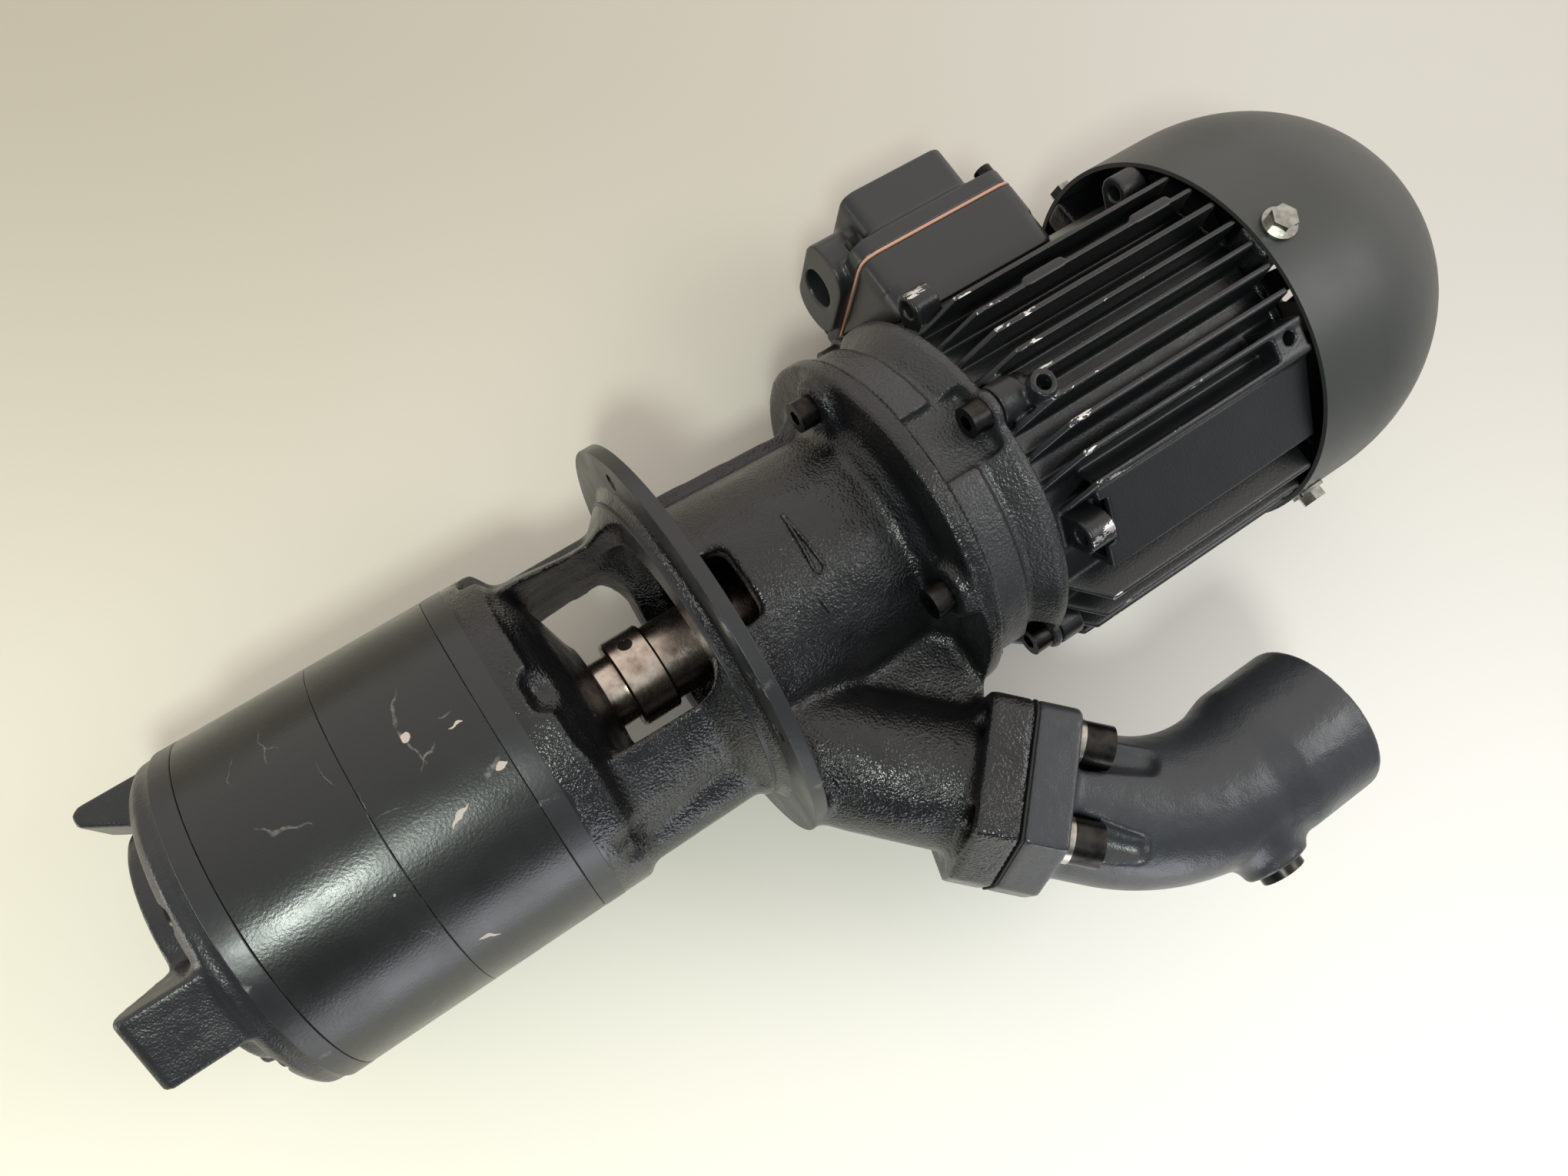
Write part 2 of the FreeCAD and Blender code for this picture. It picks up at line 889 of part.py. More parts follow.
def make_shaft_nut():
    body = part_body("impeller_nut")
    low = lower_impeller - s.hub_length - s.shaft_washer - s.shaft_nut_height
    drawing = attach(body, "nut_outline", "XY", (0, 0, low))
    hexagon(drawing, s.shaft_nut)
    circle(drawing, s.shaft_thread + s.thread_gap)
    pad(body, "nut", drawing, s.shaft_nut_height)
    return finish(body)


# Bracket between the tank flange, the pump casing and the motor

def port_shape(drawing):
    """The joint face between branch and elbow: flat above, pointed below."""
    wide = s.port_width_half
    corner = s.port_corner
    outline(drawing, [
        (-s.port_rise, corner - wide),
        (corner - s.port_rise, -wide),
        (s.port_shoulder, -wide),
        (s.port_drop, -s.port_point_half),
        (s.port_drop, s.port_point_half),
        (s.port_shoulder, wide),
        (corner - s.port_rise, wide),
        (-s.port_rise, wide - corner),
    ], {0: corner, 6: corner})


def port_spots():
    """The joint's four screws, down its face and across it."""
    return [(down * s.port_pitch_along, across * s.port_pitch_across)
            for down in (-1, 1) for across in (-1, 1)]


def make_bracket():
    body = part_body("pump_bracket")
    shoulder = casing_top + s.shoulder_height
    recess = motor_face - s.motor_spigot_height - s.running_gap
    flange_low = motor_face - s.motor_flange_thickness
    fillet = s.neck_fillet
    turned(body, "bell_turning", [
        (s.bush_radius, roof_top),
        (s.lantern_bore, roof_top),
        (s.lantern_bore, 0),
        (s.neck_bore, fillet),
        (s.neck_bore, recess),
        (s.motor_spigot + s.seat_gap, recess),
        (s.motor_spigot + s.seat_gap, motor_face),
        (s.motor_flange_radius, motor_face),
        (s.motor_flange_radius, flange_low),
        (s.neck_top_radius + fillet, flange_low),
        (s.neck_top_radius, flange_low - fillet),
        (s.neck_radius, s.flange_thickness + fillet),
        (s.neck_radius + fillet, s.flange_thickness),
        (s.flange_radius, s.flange_thickness),
        (s.flange_radius, 0),
        (s.spigot_radius, 0),
        (s.spigot_radius, -s.spigot_depth),
        (s.lantern_waist + s.lantern_flare, -s.spigot_depth),
        (s.lantern_waist, -s.spigot_depth - s.lantern_flare),
        (s.lantern_waist, -s.spigot_depth - s.lantern_flare * 2),
        (s.lantern_radius, roof_top),
        (s.casing_radius - 3, shoulder + 2),
        (s.casing_radius, shoulder),
        (s.casing_radius, casing_top),
        (register_radius, casing_top),
        (register_radius, casing_top - s.lip_depth),
        (s.chamber_radius, casing_top - s.lip_depth),
        (s.chamber_radius, roof_low),
        (s.hub_radius, roof_low),
        (s.hub_radius, roof_low - s.hub_depth),
        (s.bush_radius, roof_low - s.hub_depth),
    ], {9: -fillet * 1.02, 11: -fillet * 1.02, 16: -s.lantern_flare * 1.02})
    lobes = attach(body, "lobe_outline", "XY", (0, 0, motor_face - s.lobe_depth))
    for angle in DIAGONALS:
        circle(lobes, s.lobe_radius, *at_angle(s.motor_circle, angle))
    pad(body, "bolt_lobes", lobes, s.lobe_depth - 1)
    rib = attach(body, "rib_outline", "XZ")
    outline(rib, [
        (-s.lantern_bore - 2, roof_top - 4),
        (-s.lantern_bore - 2, flange_low + 1),
        (-s.motor_flange_radius + 8, flange_low + 1),
        (-s.rib_top_reach - 5, flange_low - 1),
        (-s.rib_top_reach, flange_low - 10),
        (-s.rib_reach, s.flange_thickness + 1),
        (-s.rib_reach, roof_top - 4),
    ])
    pad(body, "back_rib", rib, s.rib_thickness, both_ways=True)

    def along_branch(name, distance):
        """A sketch square to the branch's axis, at a distance from the duct's axis."""
        return attach(body, name, "XY", (
            s.duct_offset + distance * cosine(s.branch_angle), 0, distance * sine(s.branch_angle),
        ), turn=s.branch_angle, about=Vector(0, 1, 0))

    branch = attach(body, "branch_outline", "XZ", (s.duct_offset, 0, 0), turn=s.branch_angle)
    outline(branch, [
        (s.branch_start, 0),
        (s.branch_length - 2, 0),
        (s.branch_length - 2, s.branch_radius),
        (s.branch_start + 35, s.branch_radius - 1),
        (s.branch_start, s.branch_root_radius),
    ])
    revolved(body, "branch_turning", branch, "H_Axis")
    port = along_branch("port_outline", s.branch_length)
    port_shape(port)
    pad(body, "port_flange", port, s.port_thickness, backwards=True)
    web = attach(body, "web_outline", "XZ")
    top_x = port_x - s.port_rise * sine(s.branch_angle) - s.port_thickness * cosine(s.branch_angle)
    top_z = port_z + s.port_rise * cosine(s.branch_angle) - s.port_thickness * sine(s.branch_angle)
    outline(web, [
        (s.neck_bore + 3, s.web_rise),
        (s.neck_bore + 3, flange_low + 2),
        (s.motor_flange_radius - 2, flange_low + 2),
        (top_x + 4, top_z + 3),
        (port_x - 10, port_z - 10),
        (s.neck_bore + 6, s.web_rise - 24),
    ])
    pad(body, "branch_web", web, s.web_thickness, both_ways=True)
    grooved(body, "neck_clearance", [
        (0, s.flange_thickness - 12),
        (s.neck_bore, s.flange_thickness - 12),
        (s.neck_bore, recess),
        (s.motor_spigot + s.seat_gap, recess),
        (s.motor_spigot + s.seat_gap, motor_face + 1),
        (0, motor_face + 1),
    ])
    window = attach(body, "window_outline", "XZ")
    rounded_rectangle(window, -s.window_back, s.window_front, -s.window_drop, -s.spigot_depth,
                      s.window_corner)
    pocket(body, "windows", window, s.flange_radius * 2, both_ways=True)
    turned(body, "floor_dome", [
        (s.bush_radius, roof_low + 1),
        (s.casing_radius - 3, roof_low + 1),
        (s.casing_radius - 3, -s.window_drop - 1),
        (s.lantern_radius, -s.dome_edge),
        (s.lantern_bore, -s.dome_edge + 6.5),
        (s.lantern_bore - 13, -s.dome_middle),
        (s.dome_bore + 7.5, -s.dome_top - 2.4),
        (s.dome_bore + 3.5, -s.dome_top),
        (s.dome_bore, -s.dome_top - 1),
        (s.dome_bore, roof_top),
        (s.bush_radius, roof_top),
    ])
    scallops = attach(body, "scallop_outline", "XY", (0, 0, shoulder - s.scallop_depth))
    for angle in TIE_ANGLES:
        circle(scallops, s.scallop_radius, *at_angle(s.casing_radius, angle))
    pocket(body, "scallops", scallops, s.scallop_depth * 2, backwards=True)
    pillar_radius = s.duct_radius + s.duct_wall
    pillar = attach(body, "pillar_outline", "XY", (0, 0, roof_low))
    circle(pillar, pillar_radius, s.duct_offset)
    pad(body, "duct_pillar", pillar, -roof_low)
    knee = along_branch("knee_outline", 0)
    circle(knee, pillar_radius)
    pad(body, "duct_knee", knee, s.branch_length / 2)
    grooved(body, "below_flange_clearance", [
        (s.spigot_radius, -s.spigot_depth - 40),
        (s.flange_radius + 60, -s.spigot_depth - 40),
        (s.flange_radius + 60, 0),
        (s.spigot_radius, 0),
    ])
    slot = attach(body, "slot_outline", "XZ")
    rounded_rectangle(slot, -s.slot_half, s.slot_half, s.slot_rise, s.slot_rise + s.slot_height, 3)
    pocket(body, "slots", slot, s.flange_radius * 2, both_ways=True)
    riser = attach(body, "riser_outline", "XY", (0, 0, roof_low - s.hub_depth * 1.5))
    circle(riser, s.duct_radius, s.duct_offset)
    pocket(body, "riser", riser, s.hub_depth * 1.5 - roof_low, backwards=True)
    bore = along_branch("branch_bore_outline", s.branch_length)
    circle(bore, s.duct_radius)
    pocket(body, "branch_bore", bore, s.branch_length)
    threads = along_branch("port_thread_outline", s.branch_length)
    for spot in port_spots():
        circle(threads, s.port_screw + s.thread_gap, *spot)
    pocket(body, "port_threads", threads, s.port_thickness)
    holes = attach(body, "flange_hole_outline", "XY")
    for angle in DIAGONALS:
        circle(holes, s.flange_hole, *at_angle(s.flange_circle, angle))
    pocket(body, "flange_holes", holes, s.flange_thickness, backwards=True)
    bolts = attach(body, "motor_bolt_outline", "XY", (0, 0, motor_face))
    for angle in DIAGONALS:
        circle(bolts, s.m8_radius + s.tie_slack, *at_angle(s.motor_circle, angle))
    pocket(body, "motor_bolt_holes", bolts, s.lobe_depth + 1)
    tie_holes(body, "tie_threads", s.tie_radius + s.thread_gap, casing_top, s.tie_thread_depth)
    return finish(body)


# Discharge elbow

def make_elbow():
    body = part_body("discharge_elbow")
    gasket_x = s.port_gasket * cosine(s.branch_angle)
    gasket_z = s.port_gasket * sine(s.branch_angle)
    face_x = port_x + gasket_x
    face_z = port_z + gasket_z
    corner_z = face_z + (s.outlet_offset - face_x) * sine(s.branch_angle) / cosine(s.branch_angle)
    tangent = s.elbow_bend * sine(s.branch_angle / 2) / cosine(s.branch_angle / 2)
    path = attach(body, "centre_line", "XZ")
    spots = [
        (s.outlet_offset, s.outlet_rise),
        (s.outlet_offset, corner_z + tangent),
        (s.outlet_offset - tangent * sine(s.branch_angle), corner_z - tangent * cosine(s.branch_angle)),
        (face_x, face_z),
    ]
    centre_line(path, spots, s.elbow_bend)
    start = attach(body, "pipe_outline", "XY", (s.outlet_offset, 0, s.outlet_rise))
    circle(start, s.elbow_radius)
    swept(body, "AdditivePipe", "pipe", start, path)
    collar_low = s.outlet_rise - s.collar_length
    collar = attach(body, "collar_outline", "XZ", (s.outlet_offset, 0, 0))
    outline(collar, [
        (s.elbow_bore + 2, collar_low - s.collar_flare),
        (s.elbow_radius - 0.6, collar_low - s.collar_flare),
        (s.collar_radius, collar_low),
        (s.collar_radius, s.outlet_rise),
        (s.elbow_bore + 2, s.outlet_rise),
    ])
    revolved(body, "collar", collar, "V_Axis")

    def on_face(name, distance):
        return attach(body, name, "XY", (
            face_x + distance * cosine(s.branch_angle), 0, face_z + distance * sine(s.branch_angle),
        ), turn=s.branch_angle, about=Vector(0, 1, 0))

    port = on_face("port_outline", 0)
    port_shape(port)
    pad(body, "port_flange", port, s.port_thickness)
    boss = attach(body, "boss_outline", "XZ", (s.outlet_offset, s.plug_rise, 0))
    outline(boss, [
        (s.elbow_bore + 4, 0),
        (s.plug_boss_reach, 0),
        (s.plug_boss_reach, s.plug_boss),
        (s.plug_boss_reach - 4, s.plug_boss),
        (s.elbow_bore + 8, s.plug_boss + 7),
        (s.elbow_bore + 4, s.plug_boss + 7),
    ])
    revolved(body, "plug_boss", boss, "H_Axis")
    pockets = on_face("screw_pocket_outline", s.port_thickness)
    holes = on_face("screw_hole_outline", 0)
    for spot in port_spots():
        circle(pockets, s.port_head + 2.6, *spot)
        circle(holes, s.port_screw + s.tie_slack, *spot)
    scallops = pocket(body, "screw_pockets", pockets, s.port_thickness * 2, backwards=True)
    scallops.TaperAngle = -8
    pocket(body, "screw_holes", holes, s.port_thickness, backwards=True)
    plug_bore = attach(body, "plug_bore_outline", "YZ", (0, s.plug_rise, s.outlet_offset))
    circle(plug_bore, s.plug_radius + s.thread_gap)
    pocket(body, "plug_bore", plug_bore, s.plug_boss_reach, backwards=True)
    bore_start = attach(body, "bore_outline", "XY", (s.outlet_offset, 0, s.outlet_rise))
    circle(bore_start, s.elbow_bore)
    bore_path = attach(body, "bore_line", "XZ")
    centre_line(bore_path, spots, s.elbow_bend)
    swept(body, "SubtractivePipe", "bore", bore_start, bore_path)
    thread = attach(body, "outlet_thread_outline", "XY", (s.outlet_offset, 0, s.outlet_rise))
    circle(thread, s.outlet_thread)
    pocket(body, "outlet_thread", thread, s.outlet_depth)
    return finish(body)


def centre_line(drawing, spots, bend):
    """Two straight runs joined by a tangent arc, from the outlet down to the port."""
    spots = [(as_size(x), as_size(y)) for x, y in spots]
    ends = [Vector(x.number, y.number, 0) for x, y in spots]
    centre = ends[1] - Vector(as_size(bend).number, 0, 0)
    angles = [math.atan2(p.y - centre.y, p.x - centre.x) for p in (ends[2], ends[1])]
    drawing.addGeometry(Part.LineSegment(ends[0], ends[1]), False)
    ring_curve = Part.Circle(centre, Vector(0, 0, 1), as_size(bend).number)
    drawing.addGeometry(Part.ArcOfCircle(ring_curve, angles[0], angles[1]), False)
    drawing.addGeometry(Part.LineSegment(ends[2], ends[3]), False)
    import_constraint(drawing, ("Coincident", 0, 2, 1, 2))
    import_constraint(drawing, ("Coincident", 1, 1, 2, 1))
    for geometry, end, spot in ((0, 1, 0), (0, 2, 1), (2, 1, 2), (2, 2, 3)):
        pin_point(drawing, geometry, end, *spots[spot])
    held = import_constraint(drawing, ("Radius", 1, as_size(bend).number))
    drawing.setExpression(f"Constraints[{held}]", as_size(bend).formula)


def swept(body, kind, name, profile, path):
    made = body.newObject("PartDesign::" + kind, name)
    doc.recompute()
    made.Profile = profile
    made.Spine = (path, ["Edge1", "Edge2", "Edge3"])
    made.Mode = "Standard"
    made.Transition = "Transformed"
    profile.Visibility = False
    path.Visibility = False
    return made


# Shaft line between pump and motor

def make_coupling():
    body = part_body("coupling_sleeve")
    step = -s.clamp_drop + s.clamp_height
    turned(body, "sleeve_turning", [
        (s.drive_shaft, -s.sleeve_drop),
        (s.sleeve_lower - 1, -s.sleeve_drop),
        (s.sleeve_lower, -s.sleeve_drop + 1),
        (s.sleeve_lower, step),
        (s.sleeve_middle, step),
        (s.sleeve_middle, s.motor_stub_rise - 10),
        (s.sleeve_upper, s.motor_stub_rise - 7),
        (s.sleeve_upper, s.sleeve_top),
        (s.motor_shaft, s.sleeve_top),
        (s.motor_shaft, s.motor_stub_rise - 2),
        (s.motor_shaft + 1, s.motor_stub_rise - 2),
        (s.motor_shaft + 1, s.shaft_top + 2),
        (s.drive_shaft, s.shaft_top + 2),
    ])
    way = attach(body, "keyway_outline", "XY", (0, 0, s.sleeve_top - s.key_length - 4))
    rectangle(way, s.motor_shaft - 2, s.motor_shaft + 3.4, -s.key_width / 2, s.key_width / 2)
    pocket(body, "keyway", way, s.key_length + 5, backwards=True)
    return finish(body)


def make_clamp_ring():
    body = part_body("coupling_clamp_ring")
    low = -s.clamp_drop
    turned(body, "ring_turning", [
        (s.sleeve_lower, low),
        (s.clamp_radius - 1, low),
        (s.clamp_radius, low + 1),
        (s.clamp_radius, low + s.clamp_height - 1),
        (s.clamp_radius - 1, low + s.clamp_height),
        (s.sleeve_lower, low + s.clamp_height),
    ])
    hole = radial(body, "screw_outline", low + s.clamp_height / 2, s.clamp_screw_angle)
    circle(hole, 3 + s.thread_gap)
    pocket(body, "screw_hole", hole, s.clamp_radius * 2, backwards=True)
    return finish(body)


def make_motor_shaft():
    body = part_body("motor_shaft")
    step = bearing_low - 2
    turned(body, "shaft_turning", [
        (0, s.motor_stub_rise),
        (s.motor_shaft - 1.2, s.motor_stub_rise),
        (s.motor_shaft, s.motor_stub_rise + 1.2),
        (s.motor_shaft, step),
        (s.bearing_bore, step),
        (s.bearing_bore, bearing_top),
        (s.core_seat, bearing_top),
        (s.core_seat, fan_bearing_low),
        (s.bearing_bore, fan_bearing_low),
        (s.bearing_bore, fan_bearing_low + s.bearing_width),
        (s.fan_seat, fan_bearing_low + s.bearing_width),
        (s.fan_seat, shaft_end),
        (0, shaft_end),
    ])
    way = attach(body, "keyway_outline", "XY", (0, 0, s.sleeve_top - s.key_length - 4))
    rectangle(way, s.motor_shaft - 4, s.motor_shaft + 3, -s.key_width / 2, s.key_width / 2)
    pocket(body, "keyway", way, s.key_length, backwards=True)
    return finish(body)


def make_key():
    body = part_body("coupling_key")
    drawing = attach(body, "key_outline", "XY", (0, 0, s.sleeve_top - s.key_length - 4))
    rectangle(drawing, s.motor_shaft - 4, s.motor_shaft + 3.2, -s.key_width / 2, s.key_width / 2)
    pad(body, "key", drawing, s.key_length)
    return finish(body)


def make_bearing(prefix, low):
    """A deep groove ball bearing: outer ring, inner ring, and balls with their cage."""
    middle = low + s.bearing_width / 2
    pitch = (s.bearing_bore + s.bearing_radius) / 2
    land = s.bearing_land
    track = s.bearing_ball + s.shaft_gap

    def race(label, inner, outer):
        body = part_body(label)
        turned(body, "race_turning", [
            (inner, low), (outer, low), (outer, low + s.bearing_width), (inner, low + s.bearing_width),
        ])
        groove = attach(body, "track_outline", "XZ")
        circle(groove, track, pitch, middle)
        cut = feature(body, "Groove", "track", groove)
        cut.ReferenceAxis = (groove, ["V_Axis"])
        cut.Angle = 360
        return finish(body)

    race(prefix + "_bearing_outer_race", pitch + land, s.bearing_radius)
    race(prefix + "_bearing_inner_race", s.bearing_bore, pitch - land)
    ball = part_body(prefix + "_ball")
    made = ball.newObject("PartDesign::AdditiveSphere", "ball_sphere")
    made.setExpression("Radius", s.bearing_ball.formula)
    doc.recompute()
    return set_of(prefix + "_bearing_balls", ball, round_places(pitch, evenly(s.ball_count), middle))


# Motor

def make_end_shield():
    body = part_body("drive_end_shield")
    rim_top = motor_face + s.shield_rim
    spigot = s.barrel_bore - s.seat_gap
    turned(body, "shield_turning", [
        (s.shield_seal, motor_face - s.motor_spigot_height),
        (s.motor_spigot, motor_face - s.motor_spigot_height),
        (s.motor_spigot, motor_face),
        (s.shield_radius, motor_face),
        (s.shield_radius, rim_top),
        (s.shield_neck, rim_top + 2),
        (s.shield_flare, barrel_low - s.tie_ear_thickness),
        (s.shield_flare, barrel_low),
        (spigot, barrel_low),
        (spigot, barrel_low + s.shield_lip),
        (spigot - 5, barrel_low + s.shield_lip),
        (spigot - 5, bearing_low + s.shield_wall),
        (s.bearing_radius + 14, bearing_low + 2),
        (s.bearing_radius + 7, bearing_low + 4),
        (s.bearing_radius + 7, bearing_top + 2),
        (s.bearing_radius, bearing_top + 2),
        (s.bearing_radius, bearing_low),
        (s.motor_shaft + 3, bearing_low),
        (s.motor_shaft + 3, bearing_low - 2.5),
        (s.shield_seal, bearing_low - 2.5),
    ])
    ears = attach(body, "ear_outline", "XY", (0, 0, barrel_low))
    heads = attach(body, "head_space_outline", "XY", (0, 0, barrel_low - s.tie_ear_thickness))
    holes = attach(body, "ear_hole_outline", "XY", (0, 0, barrel_low))
    half = s.tie_notch_half
    for angle in QUARTERS:
        spot = at_angle(s.tie_ear_circle, angle)
        circle(ears, s.tie_ear_radius, *spot)
        circle(holes, s.m8_radius + s.tie_slack, *spot)
        outline(heads, turned_points([
            (s.tie_notch, -half), (s.tie_notch + 20, -half), (s.tie_notch + 20, half), (s.tie_notch, half),
        ], angle))
    pad(body, "ears", ears, s.tie_ear_thickness, backwards=True)
    pocket(body, "head_spaces", heads, s.shield_rise)
    pocket(body, "ear_holes", holes, s.tie_ear_thickness + 1)
    threads = attach(body, "bracket_thread_outline", "XY", (0, 0, motor_face))
    for angle in DIAGONALS:
        circle(threads, s.m8_radius + s.thread_gap, *at_angle(s.motor_circle, angle))
    pocket(body, "bracket_threads", threads, s.shield_rim + 1, backwards=True)
    return finish(body)


def fin_rows(pitch, count):
    """The offsets of evenly spaced fins about a middle one."""
    count = int(count.number)
    return [(number - (count - 1) / 2) * pitch for number in range(count)]


def lug_shapes(lugs, holes, angles):
    """Lugs with a round outer end that stand on the barrel, and their holes."""
    radius = s.lug_radius
    for angle in angles:
        outline(lugs, turned_points([
            (s.barrel_bore, -radius), (s.lug_circle, -radius), (s.lug_circle, radius), (s.barrel_bore, radius),
        ], angle), {1: radius * 1.001})
        circle(holes, s.lug_hole, *at_angle(s.lug_circle, angle))


def make_housing():
    body = part_body("motor_housing")
    turned(body, "barrel_turning", [
        (s.barrel_bore - 3, barrel_low),
        (s.barrel_radius, barrel_low),
        (s.barrel_radius, barrel_top),
        (s.barrel_bore - 3, barrel_top),
    ])
    half = s.fin_thickness / 2
    reach = s.fin_radius + 3
    inner = s.barrel_radius * 0.66
    fins = attach(body, "fin_outline", "XY", (0, 0, barrel_low))
    for offset in fin_rows(s.fin_pitch, s.fin_count):
        for side in (-1, 1):
            rectangle(fins, offset - half, offset + half,
                      *sorted((side * inner, side * reach), key=lambda end: end.number))
    for offset in fin_rows(s.side_fin_pitch, s.side_fin_count):
        rectangle(fins, inner, reach, offset - half, offset + half)
    pad(body, "fins", fins, s.barrel_length)
    grooved(body, "fin_ends", [
        (s.barrel_radius + 1, barrel_low - 1),
        (s.fin_radius + 30, barrel_low - 1),
        (s.fin_radius + 30, barrel_top + 1),
        (s.fin_radius, barrel_top + 1),
        (s.fin_radius, barrel_low + s.fin_slope),
        (s.barrel_radius + 1, barrel_low + 2),
    ])
    for number, angle in enumerate((45, -45)):
        panel = attach(body, f"panel_outline_{number}", "XY", (0, 0, barrel_low + s.panel_setback),
                       turn=angle)
        outline(panel, [
            (s.barrel_bore, -s.panel_half),
            (s.panel_distance, -s.panel_half),
            (s.panel_distance, s.panel_half),
            (s.barrel_bore, s.panel_half),
            (s.barrel_bore, s.panel_half - s.panel_wall),
            (s.panel_distance - s.panel_wall, s.panel_half - s.panel_wall),
            (s.panel_distance - s.panel_wall, s.panel_wall - s.panel_half),
            (s.barrel_bore, s.panel_wall - s.panel_half),
        ])
        pad(body, f"panel_{number}", panel, s.barrel_length - s.panel_setback)
    ears = attach(body, "ear_outline", "XY", (0, 0, barrel_low))
    for angle in QUARTERS:
        circle(ears, s.tie_ear_radius, *at_angle(s.tie_ear_circle, angle))
    pad(body, "ears", ears, s.tie_ear_length)
    lug_low = barrel_low + s.lug_setback
    lug_top = lug_low + s.lug_length
    for number, angle in enumerate((45, -45)):
        notch = radial(body, f"panel_notch_outline_{number}", 0, angle, s.barrel_radius - 1)
        half = s.lug_radius + s.lug_gap
        rectangle(notch, -half, half, barrel_low, lug_top + s.lug_gap)
        pocket(body, f"panel_notch_{number}", notch, s.fin_radius, backwards=True)
    lugs = attach(body, "lug_outline", "XY", (0, 0, lug_low))
    lug_holes = attach(body, "lug_hole_outline", "XY", (0, 0, lug_low))
    lug_shapes(lugs, lug_holes, DIAGONALS)
    pad(body, "lugs", lugs, s.lug_length)
    pocket(body, "lug_holes", lug_holes, s.lug_length, backwards=True)
    rear_lugs = attach(body, "rear_lug_outline", "XY", (0, 0, barrel_top))
    rear_holes = attach(body, "rear_lug_hole_outline", "XY", (0, 0, barrel_top))
    lug_shapes(rear_lugs, rear_holes, (135, 225))
    pad(body, "rear_lugs", rear_lugs, s.lug_length, backwards=True)
    pocket(body, "rear_lug_holes", rear_holes, s.lug_length)
    long_ear = attach(body, "long_ear_outline", "XY", (0, 0, barrel_low))
    circle(long_ear, s.tie_ear_radius - 1, *at_angle(s.tie_ear_circle, -90))
    pad(body, "long_ear", long_ear, s.eye_boss_rise)
    eye_boss = radial(body, "eye_boss_outline", barrel_low + s.eye_boss_rise, s.eye_boss_angle, s.barrel_bore)
    circle(eye_boss, s.eye_boss)
    pad(body, "eye_boss", eye_boss, s.eye_boss_reach - s.barrel_bore)
    eye_hole = radial(body, "eye_hole_outline", barrel_low + s.eye_boss_rise, s.eye_boss_angle,
                      s.eye_boss_reach)
    circle(eye_hole, s.eye_boss * 0.55)
    pocket(body, "eye_hole", eye_hole, s.eye_boss_depth)
    block = radial(body, "earth_block_outline", barrel_top, s.earth_block_angle, s.barrel_bore)
    half = s.earth_block / 2
    rectangle(block, -half, half, -s.earth_block_drop - half * 1.3, half * 1.3 - s.earth_block_drop)
    pad(body, "earth_block", block, s.fin_radius - s.barrel_bore - 0.5)
    block_hole = radial(body, "earth_hole_outline", barrel_top, s.earth_block_angle, s.fin_radius)
    circle(block_hole, s.earth_block / 4, 0, -s.earth_block_drop)
    pocket(body, "earth_hole", block_hole, s.eye_boss_depth)
    label_fin = -s.fin_pitch * 3
    for number, height in enumerate((s.label_low, s.label_high)):
        for side in (-1, 1):
            lip = attach(body, f"label_lip_outline_{number}_{side + 1}", "XZ", (0, 0, -side * 81.4))
            rounded_rectangle(lip, label_fin - s.label_lip, label_fin + s.label_lip * 0.5,
                              height, height + s.label_length, s.label_lip * 0.6)
            pad(body, f"label_lip_{number}_{side + 1}", lip, 3, backwards=True)
    bore = attach(body, "bore_outline", "XY", (0, 0, barrel_low - 1))
    circle(bore, s.barrel_bore)
    pocket(body, "bore", bore, s.barrel_length + 2, backwards=True)
    threads = attach(body, "ear_thread_outline", "XY", (0, 0, barrel_low))
    for angle in QUARTERS:
        circle(threads, s.m8_radius + s.thread_gap, *at_angle(s.tie_ear_circle, angle))
    pocket(body, "ear_threads", threads, s.tie_ear_length, backwards=True)
    return finish(body)


def make_rear_shield():
    body = part_body("fan_end_shield")
    spigot = s.barrel_bore - s.seat_gap
    low = fan_bearing_low
    turned(body, "shield_turning", [
        (s.bearing_radius, low),
        (s.bearing_radius + 7, low),
        (s.bearing_radius + 7, barrel_top - 3),
        (spigot - 5, barrel_top - 3),
        (spigot - 5, barrel_top - s.shield_lip),
        (spigot, barrel_top - s.shield_lip),
        (spigot, barrel_top),
        (s.barrel_radius, barrel_top),
        (s.barrel_radius, barrel_top + 5),
        (s.bearing_radius + 9, barrel_top + 9),
        (s.fan_seat + 3, barrel_top + 9),
        (s.fan_seat + 3, low + s.bearing_width + 1),
        (s.bearing_radius, low + s.bearing_width + 1),
    ])
    arm_rise = s.cowl_screw_rise + s.cowl_overlap
    arms = attach(body, "arm_outline", "XY", (0, 0, barrel_top))
    inside = s.cowl_radius - s.cowl_wall - s.seat_gap
    half = s.arm_width / 2
    for angle in QUARTERS:
        outline(arms, turned_points([
            (s.barrel_radius - 12, -half), (s.cowl_radius, -half),
            (s.cowl_radius, half), (s.barrel_radius - 12, half),
        ], angle))
    pad(body, "cowl_arms", arms, arm_rise + 7)
    grooved(body, "arm_ends", [
        (inside, barrel_top - 1), (s.cowl_radius + 10, barrel_top - 1),
        (s.cowl_radius + 10, barrel_top + arm_rise + 8), (inside, barrel_top + arm_rise + 8),
    ])
    for number, angle in enumerate(QUARTERS):
        hole = radial(body, f"cowl_thread_outline_{number}", barrel_top + arm_rise, angle, s.barrel_radius - 2)
        circle(hole, 3 + s.thread_gap)
        pocket(body, f"cowl_thread_{number}", hole, s.cowl_radius, backwards=True)
    return finish(body)


